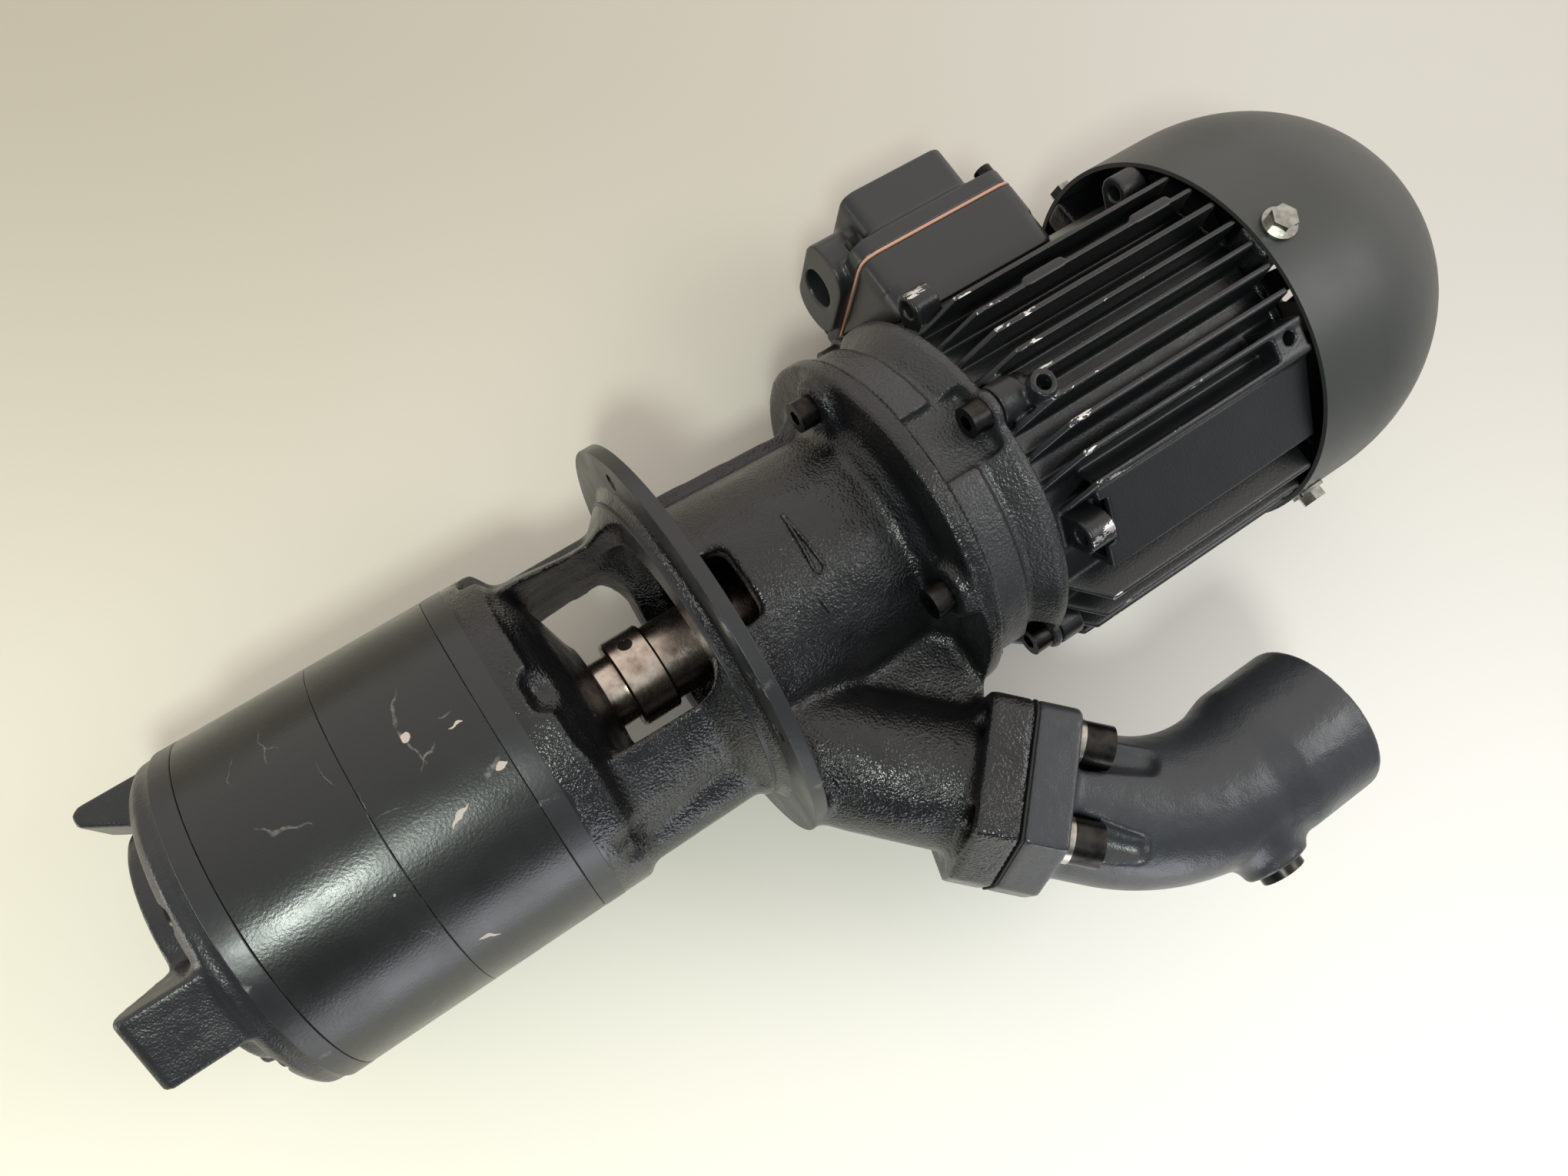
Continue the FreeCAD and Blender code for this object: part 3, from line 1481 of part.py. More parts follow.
def make_stator():
    body = part_body("stator_core")
    turned(body, "core_turning", [
        (s.core_bore, core_low), (s.barrel_bore, core_low), (s.barrel_bore, core_top), (s.core_bore, core_top),
    ])
    drawing = attach(body, "slot_outline", "XY", (0, 0, core_low))
    rectangle(drawing, s.core_bore - 1, s.core_bore + s.slot_depth, -s.slot_width / 2, s.slot_width / 2)
    slot = pocket(body, "slot", drawing, s.core_length, backwards=True)
    repeated(body, "slots", [slot], s.stator_slots)
    return finish(body)


def make_windings():
    """Coil sides in the core's slots, joined by an end winding above and below."""
    body = part_body("stator_windings")
    inner = s.core_bore + 1.5
    outer = s.core_bore + s.slot_depth - 0.1
    over = s.winding_overhang

    def end_winding(name, low, high):
        turned(body, name, [
            (inner, low + 3), (inner + 3, low), (outer + 4, low), (outer + 7, low + 3),
            (outer + 7, high - 3), (outer + 4, high), (inner + 3, high), (inner, high - 3),
        ])

    end_winding("lower_end", core_low - over, core_low - 1)
    side = attach(body, "coil_outline", "XY", (0, 0, core_low - 4))
    rectangle(side, inner + 1, outer, -s.slot_width / 2 + 0.1, s.slot_width / 2 - 0.1)
    coil = pad(body, "coil_side", side, s.core_length + 8)
    repeated(body, "coil_sides", [coil], s.stator_slots)
    end_winding("upper_end", core_top + 1, core_top + over)
    return finish(body)


def make_rotor():
    body = part_body("rotor_core")
    outer = s.core_bore - s.air_gap
    turned(body, "core_turning", [
        (s.core_seat, core_low), (outer, core_low), (outer, core_top), (s.core_seat, core_top),
    ])
    return finish(body)


def make_end_rings():
    body = part_body("rotor_end_ring")
    outer = s.core_bore - s.air_gap - 2
    turned(body, "ring_turning", [(outer - 12, 0), (outer, 0), (outer, 7), (outer - 12, 7)])
    doc.recompute()
    low = core_low.number
    high = core_top.number
    return set_of("rotor_end_rings", body, [
        Placement(Vector(0, 0, low), Rotation(Vector(1, 0, 0), 180)),
        Placement(Vector(0, 0, high), Rotation()),
    ])


def make_fan():
    body = part_body("cooling_fan")
    turned(body, "hub_turning", [
        (s.fan_seat, fan_low - 6),
        (s.fan_hub, fan_low - 6),
        (s.fan_hub, fan_low),
        (s.fan_radius * 0.62, fan_low),
        (s.fan_radius * 0.62, fan_low + s.fan_web),
        (s.fan_hub, fan_low + s.fan_web),
        (s.fan_hub, fan_low + s.fan_blade - 4),
        (s.fan_seat, fan_low + s.fan_blade - 4),
    ])
    drawing = attach(body, "blade_outline", "XZ")
    outline(drawing, [
        (s.fan_hub - 1, fan_low + 1),
        (s.fan_radius * 0.6, fan_low),
        (s.fan_radius, fan_low + 4),
        (s.fan_radius, fan_low + s.fan_blade - 6),
        (s.fan_radius - 12, fan_low + s.fan_blade),
        (s.fan_hub - 1, fan_low + s.fan_blade - 6),
    ])
    blade = pad(body, "blade", drawing, 2.5, both_ways=True)
    repeated(body, "blades", [blade], s.fan_blades)
    return finish(body)


def make_cowl():
    """A domed fan cowl with air slots in its crown."""
    body = part_body("fan_cowl")
    inner = s.cowl_radius - s.cowl_wall
    turned(body, "cowl_turning", [
        (inner, cowl_low),
        (s.cowl_radius, cowl_low),
        (s.cowl_radius, cowl_centre),
        (0, cowl_centre + s.cowl_radius),
        (0, cowl_centre + inner),
        (inner, cowl_centre),
    ], {2: s.cowl_radius, 4: -inner})
    slot = attach(body, "vent_outline", "XY", (0, 0, cowl_centre))
    half = s.vent_width / 2
    outline(slot, [
        (s.vent_inner, -half), (s.vent_outer, -half), (s.vent_outer, half), (s.vent_inner, half),
    ], {1: half * 1.02, 3: half * 1.02})
    vent = pocket(body, "vent", slot, s.cowl_radius + 5, backwards=True)
    repeated(body, "vents", [vent], s.vent_count)
    for number, angle in enumerate(QUARTERS):
        hole = radial(body, f"screw_outline_{number}", cowl_low + s.cowl_screw_rise, angle, s.barrel_radius)
        circle(hole, 3 + s.tie_slack)
        pocket(body, f"screw_hole_{number}", hole, s.cowl_radius, backwards=True)
    return finish(body)


def lid_screw_spots():
    """The terminal box's lid screws, across and along its face."""
    inset = s.lid_screw_inset
    return [(side * (s.box_half - inset), height) for side in (-1, 1)
            for height in (s.box_low + inset, s.box_low + s.box_length - inset)]


def make_box_base():
    """The terminal box's lower half, saddled on the barrel."""
    body = part_body("terminal_box_base")
    high = s.box_low + s.box_length
    face = attach(body, "frame_outline", "YZ", (0, 0, -s.box_face))
    rounded_rectangle(face, -s.box_half, s.box_half, s.box_low, high, s.box_corner)
    pad(body, "frame", face, s.box_face - s.barrel_radius * 0.76)
    saddle = attach(body, "saddle_outline", "XY", (0, 0, s.box_low - 1))
    circle(saddle, s.barrel_radius + s.seat_gap)
    pocket(body, "saddle", saddle, s.box_length + 2, backwards=True)
    hollow = attach(body, "hollow_outline", "YZ", (0, 0, -s.box_face))
    wall = s.box_wall
    rounded_rectangle(hollow, wall - s.box_half, s.box_half - wall, s.box_low + wall, high - wall,
                      s.box_corner - wall)
    pocket(body, "hollow", hollow, s.box_face - s.box_floor, backwards=True)
    posts = attach(body, "post_outline", "YZ", (0, 0, -s.box_face))
    threads = attach(body, "thread_outline", "YZ", (0, 0, -s.box_face))
    for spot in lid_screw_spots():
        circle(posts, s.lid_screw * 2 + 0.5, *spot)
        circle(threads, s.lid_screw + s.thread_gap, *spot)
    pad(body, "posts", posts, s.box_face - s.box_floor)
    pocket(body, "threads", threads, s.box_face - s.box_floor - 1, backwards=True)
    return finish(body)


def make_box_gasket():
    body = part_body("terminal_box_gasket")
    high = s.box_low + s.box_length
    wall = s.box_wall
    face = attach(body, "gasket_outline", "YZ", (0, 0, -s.box_face - s.box_gasket))
    rounded_rectangle(face, -s.box_half, s.box_half, s.box_low, high, s.box_corner)
    rounded_rectangle(face, wall - s.box_half, s.box_half - wall, s.box_low + wall, high - wall,
                      s.box_corner - wall)
    pad(body, "gasket", face, s.box_gasket)
    tabs = attach(body, "tab_outline", "YZ", (0, 0, -s.box_face - s.box_gasket))
    holes = attach(body, "hole_outline", "YZ", (0, 0, -s.box_face - s.box_gasket))
    for spot in lid_screw_spots():
        circle(tabs, s.lid_screw * 2 + 0.5, *spot)
        circle(holes, s.lid_screw + s.tie_slack, *spot)
    pad(body, "tabs", tabs, s.box_gasket)
    pocket(body, "holes", holes, s.box_gasket, backwards=True)
    return finish(body)


def make_box_lid():
    """The terminal box's hood, with a threaded cable entry towards the pump."""
    body = part_body("terminal_box_lid")
    high = s.box_low + s.box_length
    seat = s.box_face + s.box_gasket
    wall = s.lid_wall
    lip = attach(body, "lip_outline", "YZ", (0, 0, -seat))
    rounded_rectangle(lip, -s.box_half, s.box_half, s.box_low, high, s.box_corner)
    pad(body, "lip", lip, s.lid_lip, backwards=True)
    hood_low = s.box_low + s.lid_setback
    hood = attach(body, "hood_outline", "YZ", (0, 0, -seat))
    rounded_rectangle(hood, 2 - s.box_half, s.box_half - 2, hood_low, hood_low + s.lid_length, 6)
    pad(body, "hood", hood, s.lid_rise, backwards=True)
    entry = attach(body, "entry_outline", "XY", (0, 0, s.box_low - s.entry_reach))
    rounded_rectangle(entry, -seat - s.lid_rise + 3, -seat, s.nose_low, s.nose_high, s.entry_corner)
    pad(body, "entry_face", entry, s.entry_reach + s.lid_setback + 5)
    hollow = attach(body, "hollow_outline", "YZ", (0, 0, -seat))
    rounded_rectangle(hollow, 2 + wall - s.box_half, s.box_half - 2 - wall, hood_low + wall,
                      hood_low + s.lid_length - wall, 4)
    pocket(body, "hollow", hollow, s.lid_rise - wall)
    hole = attach(body, "entry_hole_outline", "XY", (0, 0, s.box_low - s.entry_reach))
    circle(hole, s.entry_radius, -s.entry_distance, -s.entry_shift)
    pocket(body, "entry_hole", hole, s.entry_reach + s.lid_setback + wall + 2, backwards=True)
    screws = attach(body, "screw_hole_outline", "YZ", (0, 0, -seat))
    for spot in lid_screw_spots():
        circle(screws, s.lid_screw + s.tie_slack, *spot)
    pocket(body, "screw_holes", screws, s.lid_lip + 1)
    return finish(body)


def make_terminal_block():
    body = part_body("terminal_block")
    middle = s.box_low + s.box_length / 2
    drawing = attach(body, "block_outline", "YZ", (0, 0, -s.box_floor))
    rectangle(drawing, -24, 24, middle - 15, middle + 15)
    pad(body, "block", drawing, 9, backwards=True)
    studs = attach(body, "stud_outline", "YZ", (0, 0, -s.box_floor - 9))
    for across in (-15, 0, 15):
        for along in (-8, 8):
            circle(studs, 2.5, across, middle + along)
    pad(body, "studs", studs, 12, backwards=True)
    return finish(body)


make_suction_cover()
make_lower_stage()
make_upper_stage()
make_ring_seals()
make_impeller("lower_impeller", lower_impeller)
make_impeller("upper_impeller", upper_impeller)
make_diffuser("lower_diffuser", lower_impeller + 1, web_low)
make_diffuser("upper_diffuser", upper_impeller + 1, casing_top - s.lip_depth)
make_pump_shaft()
make_shaft_nut()
ring("impeller_washer", s.shaft_thread, s.impeller_hub, lower_impeller - s.hub_length - s.shaft_washer,
     lower_impeller - s.hub_length)
ring("impeller_spacer", s.pump_shaft, s.impeller_hub, lower_impeller, upper_impeller - s.hub_length)
ring("shaft_bush", s.drive_shaft + s.shaft_gap, s.bush_radius, roof_low - s.hub_depth, roof_top)
ring("splash_ring", s.drive_shaft, s.bush_radius + 2, roof_top + 0.4, roof_top + 4)
make_bracket()
make_elbow()
make_coupling()
make_clamp_ring()
make_motor_shaft()
make_key()
make_bearing("drive_end", bearing_low)
make_bearing("fan_end", fan_bearing_low)
ring("shaft_seal", s.motor_shaft + s.shaft_gap, s.shield_seal, motor_face - s.motor_spigot_height + 0.5,
     bearing_low - 2.5)
ring("preload_washer", s.bearing_radius - 8, s.bearing_radius - 0.2, fan_bearing_low + s.bearing_width + 0.1,
     fan_bearing_low + s.bearing_width + 0.9)
make_end_shield()
make_housing()
make_rear_shield()
make_stator()
make_windings()
make_rotor()
make_end_rings()
make_fan()
make_cowl()
make_box_base()
make_box_gasket()
make_box_lid()
make_terminal_block()


# Fasteners

def make_fasteners():
    m8_length = 8
    bolt_length = (-cover_low - s.tie_recess + casing_top + s.tie_thread_depth - 3).number
    tie = cap_screw("tie_bolt", s.tie_radius, bolt_length, s.m8_head, m8_length, 3.4)
    set_of("casing_tie_bolts", tie, round_places(s.tie_circle, TIE_ANGLES, cover_low + s.tie_recess))
    flange = cap_screw("flange_screw", s.m8_radius, 28, s.m8_head, m8_length, 3.4)
    set_of("bracket_screws", flange, round_places(s.motor_circle, DIAGONALS, motor_face - s.lobe_depth))
    shield = cap_screw("shield_screw", s.m8_radius, s.tie_ear_thickness + s.tie_ear_length - 1, s.m8_head,
                       m8_length, 3.4)
    set_of("end_shield_screws", shield,
           round_places(s.tie_ear_circle, QUARTERS, barrel_low - s.tie_ear_thickness))
    port = cap_screw("port_screw", s.port_screw,
                     (s.port_thickness * 2 + s.port_gasket + s.port_washer - 2).number, s.port_head, 12, 5.8)
    washer = part_body("port_washer")
    turned(washer, "washer_turning", [
        (s.port_screw + 0.3, 0), (s.port_head + 0.3, 0), (s.port_head + 0.3, s.port_washer),
        (s.port_screw + 0.3, s.port_washer),
    ])
    doc.recompute()
    tilt = Rotation(Vector(0, 1, 0), s.branch_angle.number)
    outwards = tilt.multVec(Vector(0, 0, 1))
    back = Rotation(Vector(0, 1, 0), s.branch_angle.number + 180)
    centre = Vector(port_x.number, 0, port_z.number)
    seat = (s.port_gasket + s.port_thickness).number
    heads, washers = [], []
    for down, across in port_spots():
        spot = centre + tilt.multVec(Vector(down.number, across.number, 0)) + outwards * seat
        washers.append(Placement(spot, tilt))
        heads.append(Placement(spot + outwards * s.port_washer.number, back))
    set_of("elbow_screws", port, heads)
    set_of("elbow_washers", washer, washers)
    lid = cap_screw("lid_screw", s.lid_screw, (s.lid_lip + s.box_gasket).number + 12, 4.25, 4, 2.2)
    seat_x = -(s.box_face + s.box_gasket + s.lid_lip).number
    set_of("lid_screws", lid, [
        Placement(Vector(seat_x, across.number, height.number), Rotation(Vector(0, 0, 1), Vector(1, 0, 0)))
        for across, height in lid_screw_spots()
    ])
    cowl_screw = hex_screw("cowl_screw", 3, 12, 5.8, 4.5)
    cowl_height = cowl_low + s.cowl_screw_rise
    inward = Vector(-1, 0, 0)
    set_of("cowl_screws", cowl_screw, round_places(s.cowl_radius + 1.6, QUARTERS, cowl_height, inward))
    cowl_washer = part_body("cowl_washer")
    turned(cowl_washer, "washer_turning", [(3.2, -1.5), (7.5, -1.5), (7.5, 0), (3.2, 0)])
    doc.recompute()
    set_of("cowl_washers", cowl_washer, round_places(s.cowl_radius + 0.1, QUARTERS, cowl_height, inward))


def make_elbow_gasket():
    body = part_body("elbow_gasket")
    face = attach(body, "gasket_outline", "XY", (port_x, 0, port_z), turn=s.branch_angle,
                  about=Vector(0, 1, 0))
    port_shape(face)
    circle(face, s.duct_radius)
    for spot in port_spots():
        circle(face, s.port_screw + s.tie_slack, *spot)
    pad(body, "gasket", face, s.port_gasket)
    return finish(body)


def make_elbow_plug():
    body = part_body("elbow_plug")
    face = s.outlet_offset + s.plug_boss_reach
    head = attach(body, "head_outline", "YZ", (0, s.plug_rise, face))
    circle(head, s.plug_head)
    pad(body, "head", head, s.plug_head_height)
    shank = attach(body, "shank_outline", "YZ", (0, s.plug_rise, face))
    circle(shank, s.plug_radius)
    pad(body, "shank", shank, 10, backwards=True)
    key = attach(body, "key_outline", "YZ", (0, s.plug_rise, face + s.plug_head_height))
    hexagon_at(key, 3.4, 0, 0)
    pocket(body, "key_socket", key, 5)
    return finish(body)


def hexagon_at(drawing, half, x, y):
    outline(drawing, [(at_angle(as_size(half), 60 * turn)[0] + x, at_angle(as_size(half), 60 * turn)[1] + y)
                      for turn in range(6)])


def make_set_screw():
    body = part_body("clamp_set_screw")
    middle = -s.clamp_drop + s.clamp_height / 2
    drawing = radial(body, "screw_outline", middle, s.clamp_screw_angle, s.sleeve_lower)
    circle(drawing, 3)
    pad(body, "screw", drawing, s.clamp_radius - s.sleeve_lower - 0.5)
    return finish(body)


make_elbow_gasket()
make_elbow_plug()
make_set_screw()
make_fasteners()
doc.recompute()

# Every object is sound before anything is written
failed = [f"{item.Name} {item.State}" for item in doc.Objects
          if "Invalid" in item.State or "Error" in item.State]
failed += [f"{node.Label} has no sound shape" for node in nodes
           if node.Shape.isNull() or not node.Shape.isValid()]
if failed:
    raise RuntimeError("\n".join(failed))
facets = 0
for node in nodes:
    shape = node.Shape
    count = len(shape.copy().tessellate(0.3)[1])
    facets += count
    print(node.Label, "solids", len(shape.Solids), "volume", round(shape.Volume), "facets", count)
    shape.exportStep(f"parts/{node.Label}.step")
print("nodes", len(nodes), "facets", facets)
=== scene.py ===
"""An immersion pump in black enamel, as it lies on a pale table.

The solids come from the frame, in metres: +Z up the shaft to the motor, +X towards the discharge
branch. Castings get a skin of their own, turned parts get crisp edges, and each piece gets the
finish that the real one has.
"""

import json
import math

import bmesh
import bpy
from mathutils import Euler, Matrix, Vector


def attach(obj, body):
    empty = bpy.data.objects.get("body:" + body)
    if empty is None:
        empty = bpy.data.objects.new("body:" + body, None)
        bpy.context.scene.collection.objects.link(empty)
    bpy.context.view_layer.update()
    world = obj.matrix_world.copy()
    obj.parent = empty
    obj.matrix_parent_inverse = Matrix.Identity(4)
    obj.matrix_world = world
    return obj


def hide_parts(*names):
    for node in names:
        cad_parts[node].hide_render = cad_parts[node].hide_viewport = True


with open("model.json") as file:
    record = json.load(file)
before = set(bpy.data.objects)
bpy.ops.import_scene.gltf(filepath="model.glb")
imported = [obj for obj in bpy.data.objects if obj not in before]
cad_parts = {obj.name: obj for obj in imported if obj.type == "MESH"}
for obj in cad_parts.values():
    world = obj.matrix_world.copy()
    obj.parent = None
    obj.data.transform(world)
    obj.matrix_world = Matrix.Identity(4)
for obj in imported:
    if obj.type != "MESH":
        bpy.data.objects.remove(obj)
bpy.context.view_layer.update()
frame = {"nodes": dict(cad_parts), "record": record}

MM = 0.001
nodes = frame["nodes"]
slots = {part["node"]: part["material_slot"] for part in frame["record"]["subparts"]}
bodies = {name: body for body, held in frame["record"]["behaviour"]["bodies"].items()
          for name in held}


# Materials and pieces

def linear(hex_colour, alpha=1.0):
    """A colour written as sRGB hex, as the linear values that shaders take."""
    parts = [int(hex_colour[start:start + 2], 16) / 255 for start in (1, 3, 5)]
    straight = [part / 12.92 if part <= 0.04045 else ((part + 0.055) / 1.055) ** 2.4
                for part in parts]
    return (*straight, alpha)


def add(tree, kind, inputs=None, **settings):
    """A node with its settings. An input takes a plain value or another node's output."""
    made = tree.nodes.new("ShaderNode" + kind)
    for name, value in settings.items():
        setattr(made, name, value)
    for name, source in (inputs or {}).items():
        socket = made.inputs[name]
        if isinstance(source, bpy.types.NodeSocket):
            tree.links.new(source, socket)
        else:
            socket.default_value = source
    return made


def new_material(name):
    """An empty material, its node tree and its output."""
    made = bpy.data.materials.new(name)
    made.use_nodes = True
    made.node_tree.nodes.clear()
    return made, made.node_tree, add(made.node_tree, "OutputMaterial")


def as_piece(name, shape):
    """A shape as a new piece."""
    mesh = bpy.data.meshes.new(name)
    shape.to_mesh(mesh)
    shape.free()
    piece = bpy.data.objects.new(name, mesh)
    bpy.context.scene.collection.objects.link(piece)
    return piece


# Camera, table and light

CAMERA_PLACE = Vector((98.315, -462.537, -71.44)) * MM
CAMERA_TURN = Euler([math.radians(turn) for turn in (115.3043, -55.5808, -9.3910)])
# the picture's own directions: rightwards, upwards and nearer
PICTURE = CAMERA_TURN.to_matrix()
TABLE_AZIMUTH = math.radians(-78)
TABLE_UP = Vector((math.cos(TABLE_AZIMUTH), math.sin(TABLE_AZIMUTH), 0))
TABLE_DISTANCE = 91 * MM
TABLE_HALF = 2.2
# half of what is seen of it, rightwards and upwards, in metres
SEEN_HALF = (0.37, 0.28)
PUMP_MIDDLE = Vector((30, 0, 60)) * MM
TABLE_TINTS_AND_PAINTED_SHADE = {
    # along the picture's lower and upper edge, from its left to its right. The cream is the
    # table's own; the darker upper edge is painted shade and the near white lower edge painted
    # light, the falloff of the light across the table
    "lower": ("#ece7d6", "#f0eeea"),
    "upper": ("#b9b19f", "#cbc6be"),
}
LAMPS = {
    # metres to the picture's right, upwards and nearer than the pump, then watts, side and colour.
    # The small one draws the streak along the casing, and the others the sheen on its sides.
    "ceiling_lamp": (-0.02, -0.3, 1.2, 6.5, 0.17, "#f3fff4"),
    "window": (0.5, -1.3, 0.12, 8.2, 0.8, "#f6f9ff"),
    "left_window": (-1.3, -0.55, 0.2, 12, 0.8, "#fffaf2"),
    "far_window": (1.15, 0.35, 0.85, 4.5, 0.6, "#ffffff"),
}


def make_camera():
    """The camera stands over the lying pump, as the photographer did."""
    lens = bpy.data.cameras.new("camera")
    lens.sensor_width = 36
    lens.lens = 26.49
    lens.clip_start = 0.01
    lens.clip_end = 50
    camera = bpy.data.objects.new("camera", lens)
    camera.location = CAMERA_PLACE
    camera.rotation_euler = CAMERA_TURN
    bpy.context.scene.collection.objects.link(camera)
    bpy.context.scene.camera = camera


def share_along(tree, spot, side, half):
    """How far a place lies along one of the picture's sides, as a share of what is seen there."""
    along = PICTURE @ side
    middle = CAMERA_PLACE.dot(along)
    place = add(tree, "VectorMath", {0: spot, 1: along}, operation="DOT_PRODUCT")
    return add(tree, "MapRange", {"Value": place.outputs["Value"], "From Min": middle - half,
                                  "From Max": middle + half},
               interpolation_type="SMOOTHSTEP").outputs["Result"]


def make_table():
    """A pale table top behind the pump, seen from its front only. It is cream, with painted shade
    that darkens it towards the picture's upper left and painted light that makes it nearly white
    along its lower edge, as the light falls off across it."""
    made, tree, out = new_material("pale_table_top")
    spot = add(tree, "TexCoord").outputs["Object"]
    rightwards = share_along(tree, spot, Vector((1, 0, 0)), SEEN_HALF[0])
    upwards = share_along(tree, spot, Vector((0, 1, 0)), SEEN_HALF[1])
    # the blend of the tints paints shade towards the picture's upper left and light along its
    # lower edge
    edges = {}
    for edge, (left, right) in TABLE_TINTS_AND_PAINTED_SHADE.items():
        tint = add(tree, "Mix", {"Factor": rightwards, "A": linear(left), "B": linear(right)},
                   data_type="RGBA")
        edges[edge] = tint.outputs["Result"]
    tint = add(tree, "Mix", {"Factor": upwards, "A": edges["lower"], "B": edges["upper"]},
               data_type="RGBA")
    top = add(tree, "BsdfPrincipled", {"Base Color": tint.outputs["Result"], "Roughness": 0.6})
    behind = add(tree, "BsdfTransparent")
    facing = add(tree, "NewGeometry")
    either = add(tree, "MixShader", {0: facing.outputs["Backfacing"], 1: top.outputs[0],
                                     2: behind.outputs[0]})
    tree.links.new(either.outputs[0], out.inputs["Surface"])
    shape = bmesh.new()
    bmesh.ops.create_grid(shape, x_segments=1, y_segments=1, size=TABLE_HALF)
    turn = TABLE_UP.to_track_quat("Z", "X").to_matrix().to_4x4()
    place = Matrix.Translation(-TABLE_UP * TABLE_DISTANCE) @ turn
    bmesh.ops.transform(shape, matrix=place, verts=shape.verts)
    table = as_piece("table_top", shape)
    table.data.materials.append(made)


def make_lamp(name, right, above, nearer, power, size, colour):
    """A soft square lamp that faces the pump's middle."""
    light = bpy.data.lights.new(name, "AREA")
    light.energy = power
    light.size = size
    light.color = linear(colour)[:3]
    lamp = bpy.data.objects.new(name, light)
    lamp.location = PUMP_MIDDLE + PICTURE @ Vector((right, above, nearer))
    lamp.rotation_euler = (lamp.location - PUMP_MIDDLE).to_track_quat("Z", "Y").to_euler()
    bpy.context.scene.collection.objects.link(lamp)


def make_world():
    """A white room, brightest over the top of the picture and darker past its lower edge, so that
    the black enamel shows a soft sheen above and stays deep below."""
    world = bpy.data.worlds.new("white_room")
    bpy.context.scene.world = world
    world.use_nodes = True
    tree = world.node_tree
    tree.nodes.clear()
    out = add(tree, "OutputWorld")
    outward = add(tree, "TexCoord").outputs["Generated"]
    bright_side = PICTURE @ Vector((0.1, 0.99, 0))
    aside = add(tree, "VectorMath", {0: outward, 1: bright_side}, operation="DOT_PRODUCT")
    strength = add(tree, "MapRange", {"Value": aside.outputs["Value"], "From Min": -0.55,
                                      "From Max": 0.65, "To Min": 0.25, "To Max": 1.4})
    warmth = add(tree, "MapRange", {"Value": aside.outputs["Value"], "From Min": -0.5,
                                    "From Max": 0.6})
    colour = add(tree, "Mix", {"Factor": warmth.outputs["Result"], "A": linear("#eaf0f6"),
                               "B": linear("#f6efe8")}, data_type="RGBA")
    room = add(tree, "Background", {"Color": colour.outputs["Result"],
                                    "Strength": strength.outputs["Result"]})
    backdrop = add(tree, "Background", {"Color": linear("#f6f4ef"), "Strength": 0.95})
    rays = add(tree, "LightPath")
    either = add(tree, "MixShader", {0: rays.outputs["Is Camera Ray"], 1: room.outputs[0],
                                     2: backdrop.outputs[0]})
    tree.links.new(either.outputs[0], out.inputs["Surface"])


# Shapes

EASED_EDGE = 0.45


def merged_copy(name):
    """A solid's triangles as one closed shape."""
    shape = bmesh.new()
    shape.from_mesh(nodes[name].data)
    bmesh.ops.remove_doubles(shape, verts=shape.verts, dist=0.0005 * MM)
    return shape


def settle(piece):
    """The piece's modifiers, made part of its mesh."""
    graph = bpy.context.evaluated_depsgraph_get()
    done = bpy.data.meshes.new_from_object(piece.evaluated_get(graph))
    piece.modifiers.clear()
    piece.data = done
    done.name = piece.name


def belongs(piece, solid, finish):
    """The piece moves with a solid and has its slot."""
    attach(piece, bodies[solid])
    piece.data.materials.clear()
    piece.data.materials.append(finish)


def add_skin(piece, voxel):
    """One watertight skin of small, even faces."""
    skin = piece.modifiers.new("skin", "REMESH")
    skin.mode = "VOXEL"
    skin.voxel_size = voxel * MM
    skin.use_smooth_shade = True


def cast_skin(name, voxel, closing, passes, share):
    """A casting's own skin over its solid. It swells and shrinks back, which fills the inside
    corners as a moulder's fillets do, and it is smoothed until its faces aren't quite flat."""
    shape = merged_copy(name)
    for radius, depth, place in FILLS.get(name, []):
        bmesh.ops.create_cone(shape, cap_ends=True, segments=40, radius1=radius * MM,
                              radius2=radius * MM, depth=depth * MM, matrix=place)
    piece = as_piece(name + "_casting", shape)
    add_skin(piece, voxel)
    for swelling in (closing, -closing) if closing else ():
        swell = piece.modifiers.new("swell", "DISPLACE")
        swell.direction = "NORMAL"
        swell.mid_level = 0
        swell.strength = swelling * MM
        add_skin(piece, voxel)
    wash = piece.modifiers.new("wash", "SMOOTH")
    wash.factor = 0.5
    wash.iterations = passes
    thin = piece.modifiers.new("thin", "DECIMATE")
    thin.ratio = share
    settle(piece)
    return piece


def ease_edges(piece):
    """The edges of a machined piece, eased as a file leaves them."""
    ease = piece.modifiers.new("ease", "BEVEL")
    ease.width = EASED_EDGE * MM
    ease.segments = 2
    ease.limit_method = "ANGLE"
    ease.angle_limit = math.radians(38)
    even = piece.modifiers.new("even", "WEIGHTED_NORMAL")
    even.keep_sharp = True
    piece.data.shade_smooth()
    settle(piece)


def eased_casing(name):
    """A turned casing ring with its edges eased."""
    shape = merged_copy(name)
    bmesh.ops.dissolve_limit(shape, angle_limit=math.radians(0.8), verts=shape.verts,
                             edges=shape.edges)
    piece = as_piece(name + "_eased", shape)
    ease_edges(piece)
    return piece


def drill(piece, circle, radius):
    """Four holes on a circle, in the directions of the tank flange's screws."""
    cutter = bmesh.new()
    for angle in (45, 135, 225, 315):
        place = (Matrix.Rotation(math.radians(angle), 4, "Z")
                 @ Matrix.Translation((circle * MM, 0, 0)))
        bmesh.ops.create_cone(cutter, cap_ends=True, segments=40, radius1=radius * MM,
                              radius2=radius * MM, depth=30 * MM, matrix=place)
    drills = as_piece("drills", cutter)
    cut = piece.modifiers.new("holes", "BOOLEAN")
    cut.operation = "DIFFERENCE"
    cut.solver = "EXACT"
    cut.object = drills
    settle(piece)
    bpy.data.objects.remove(drills)


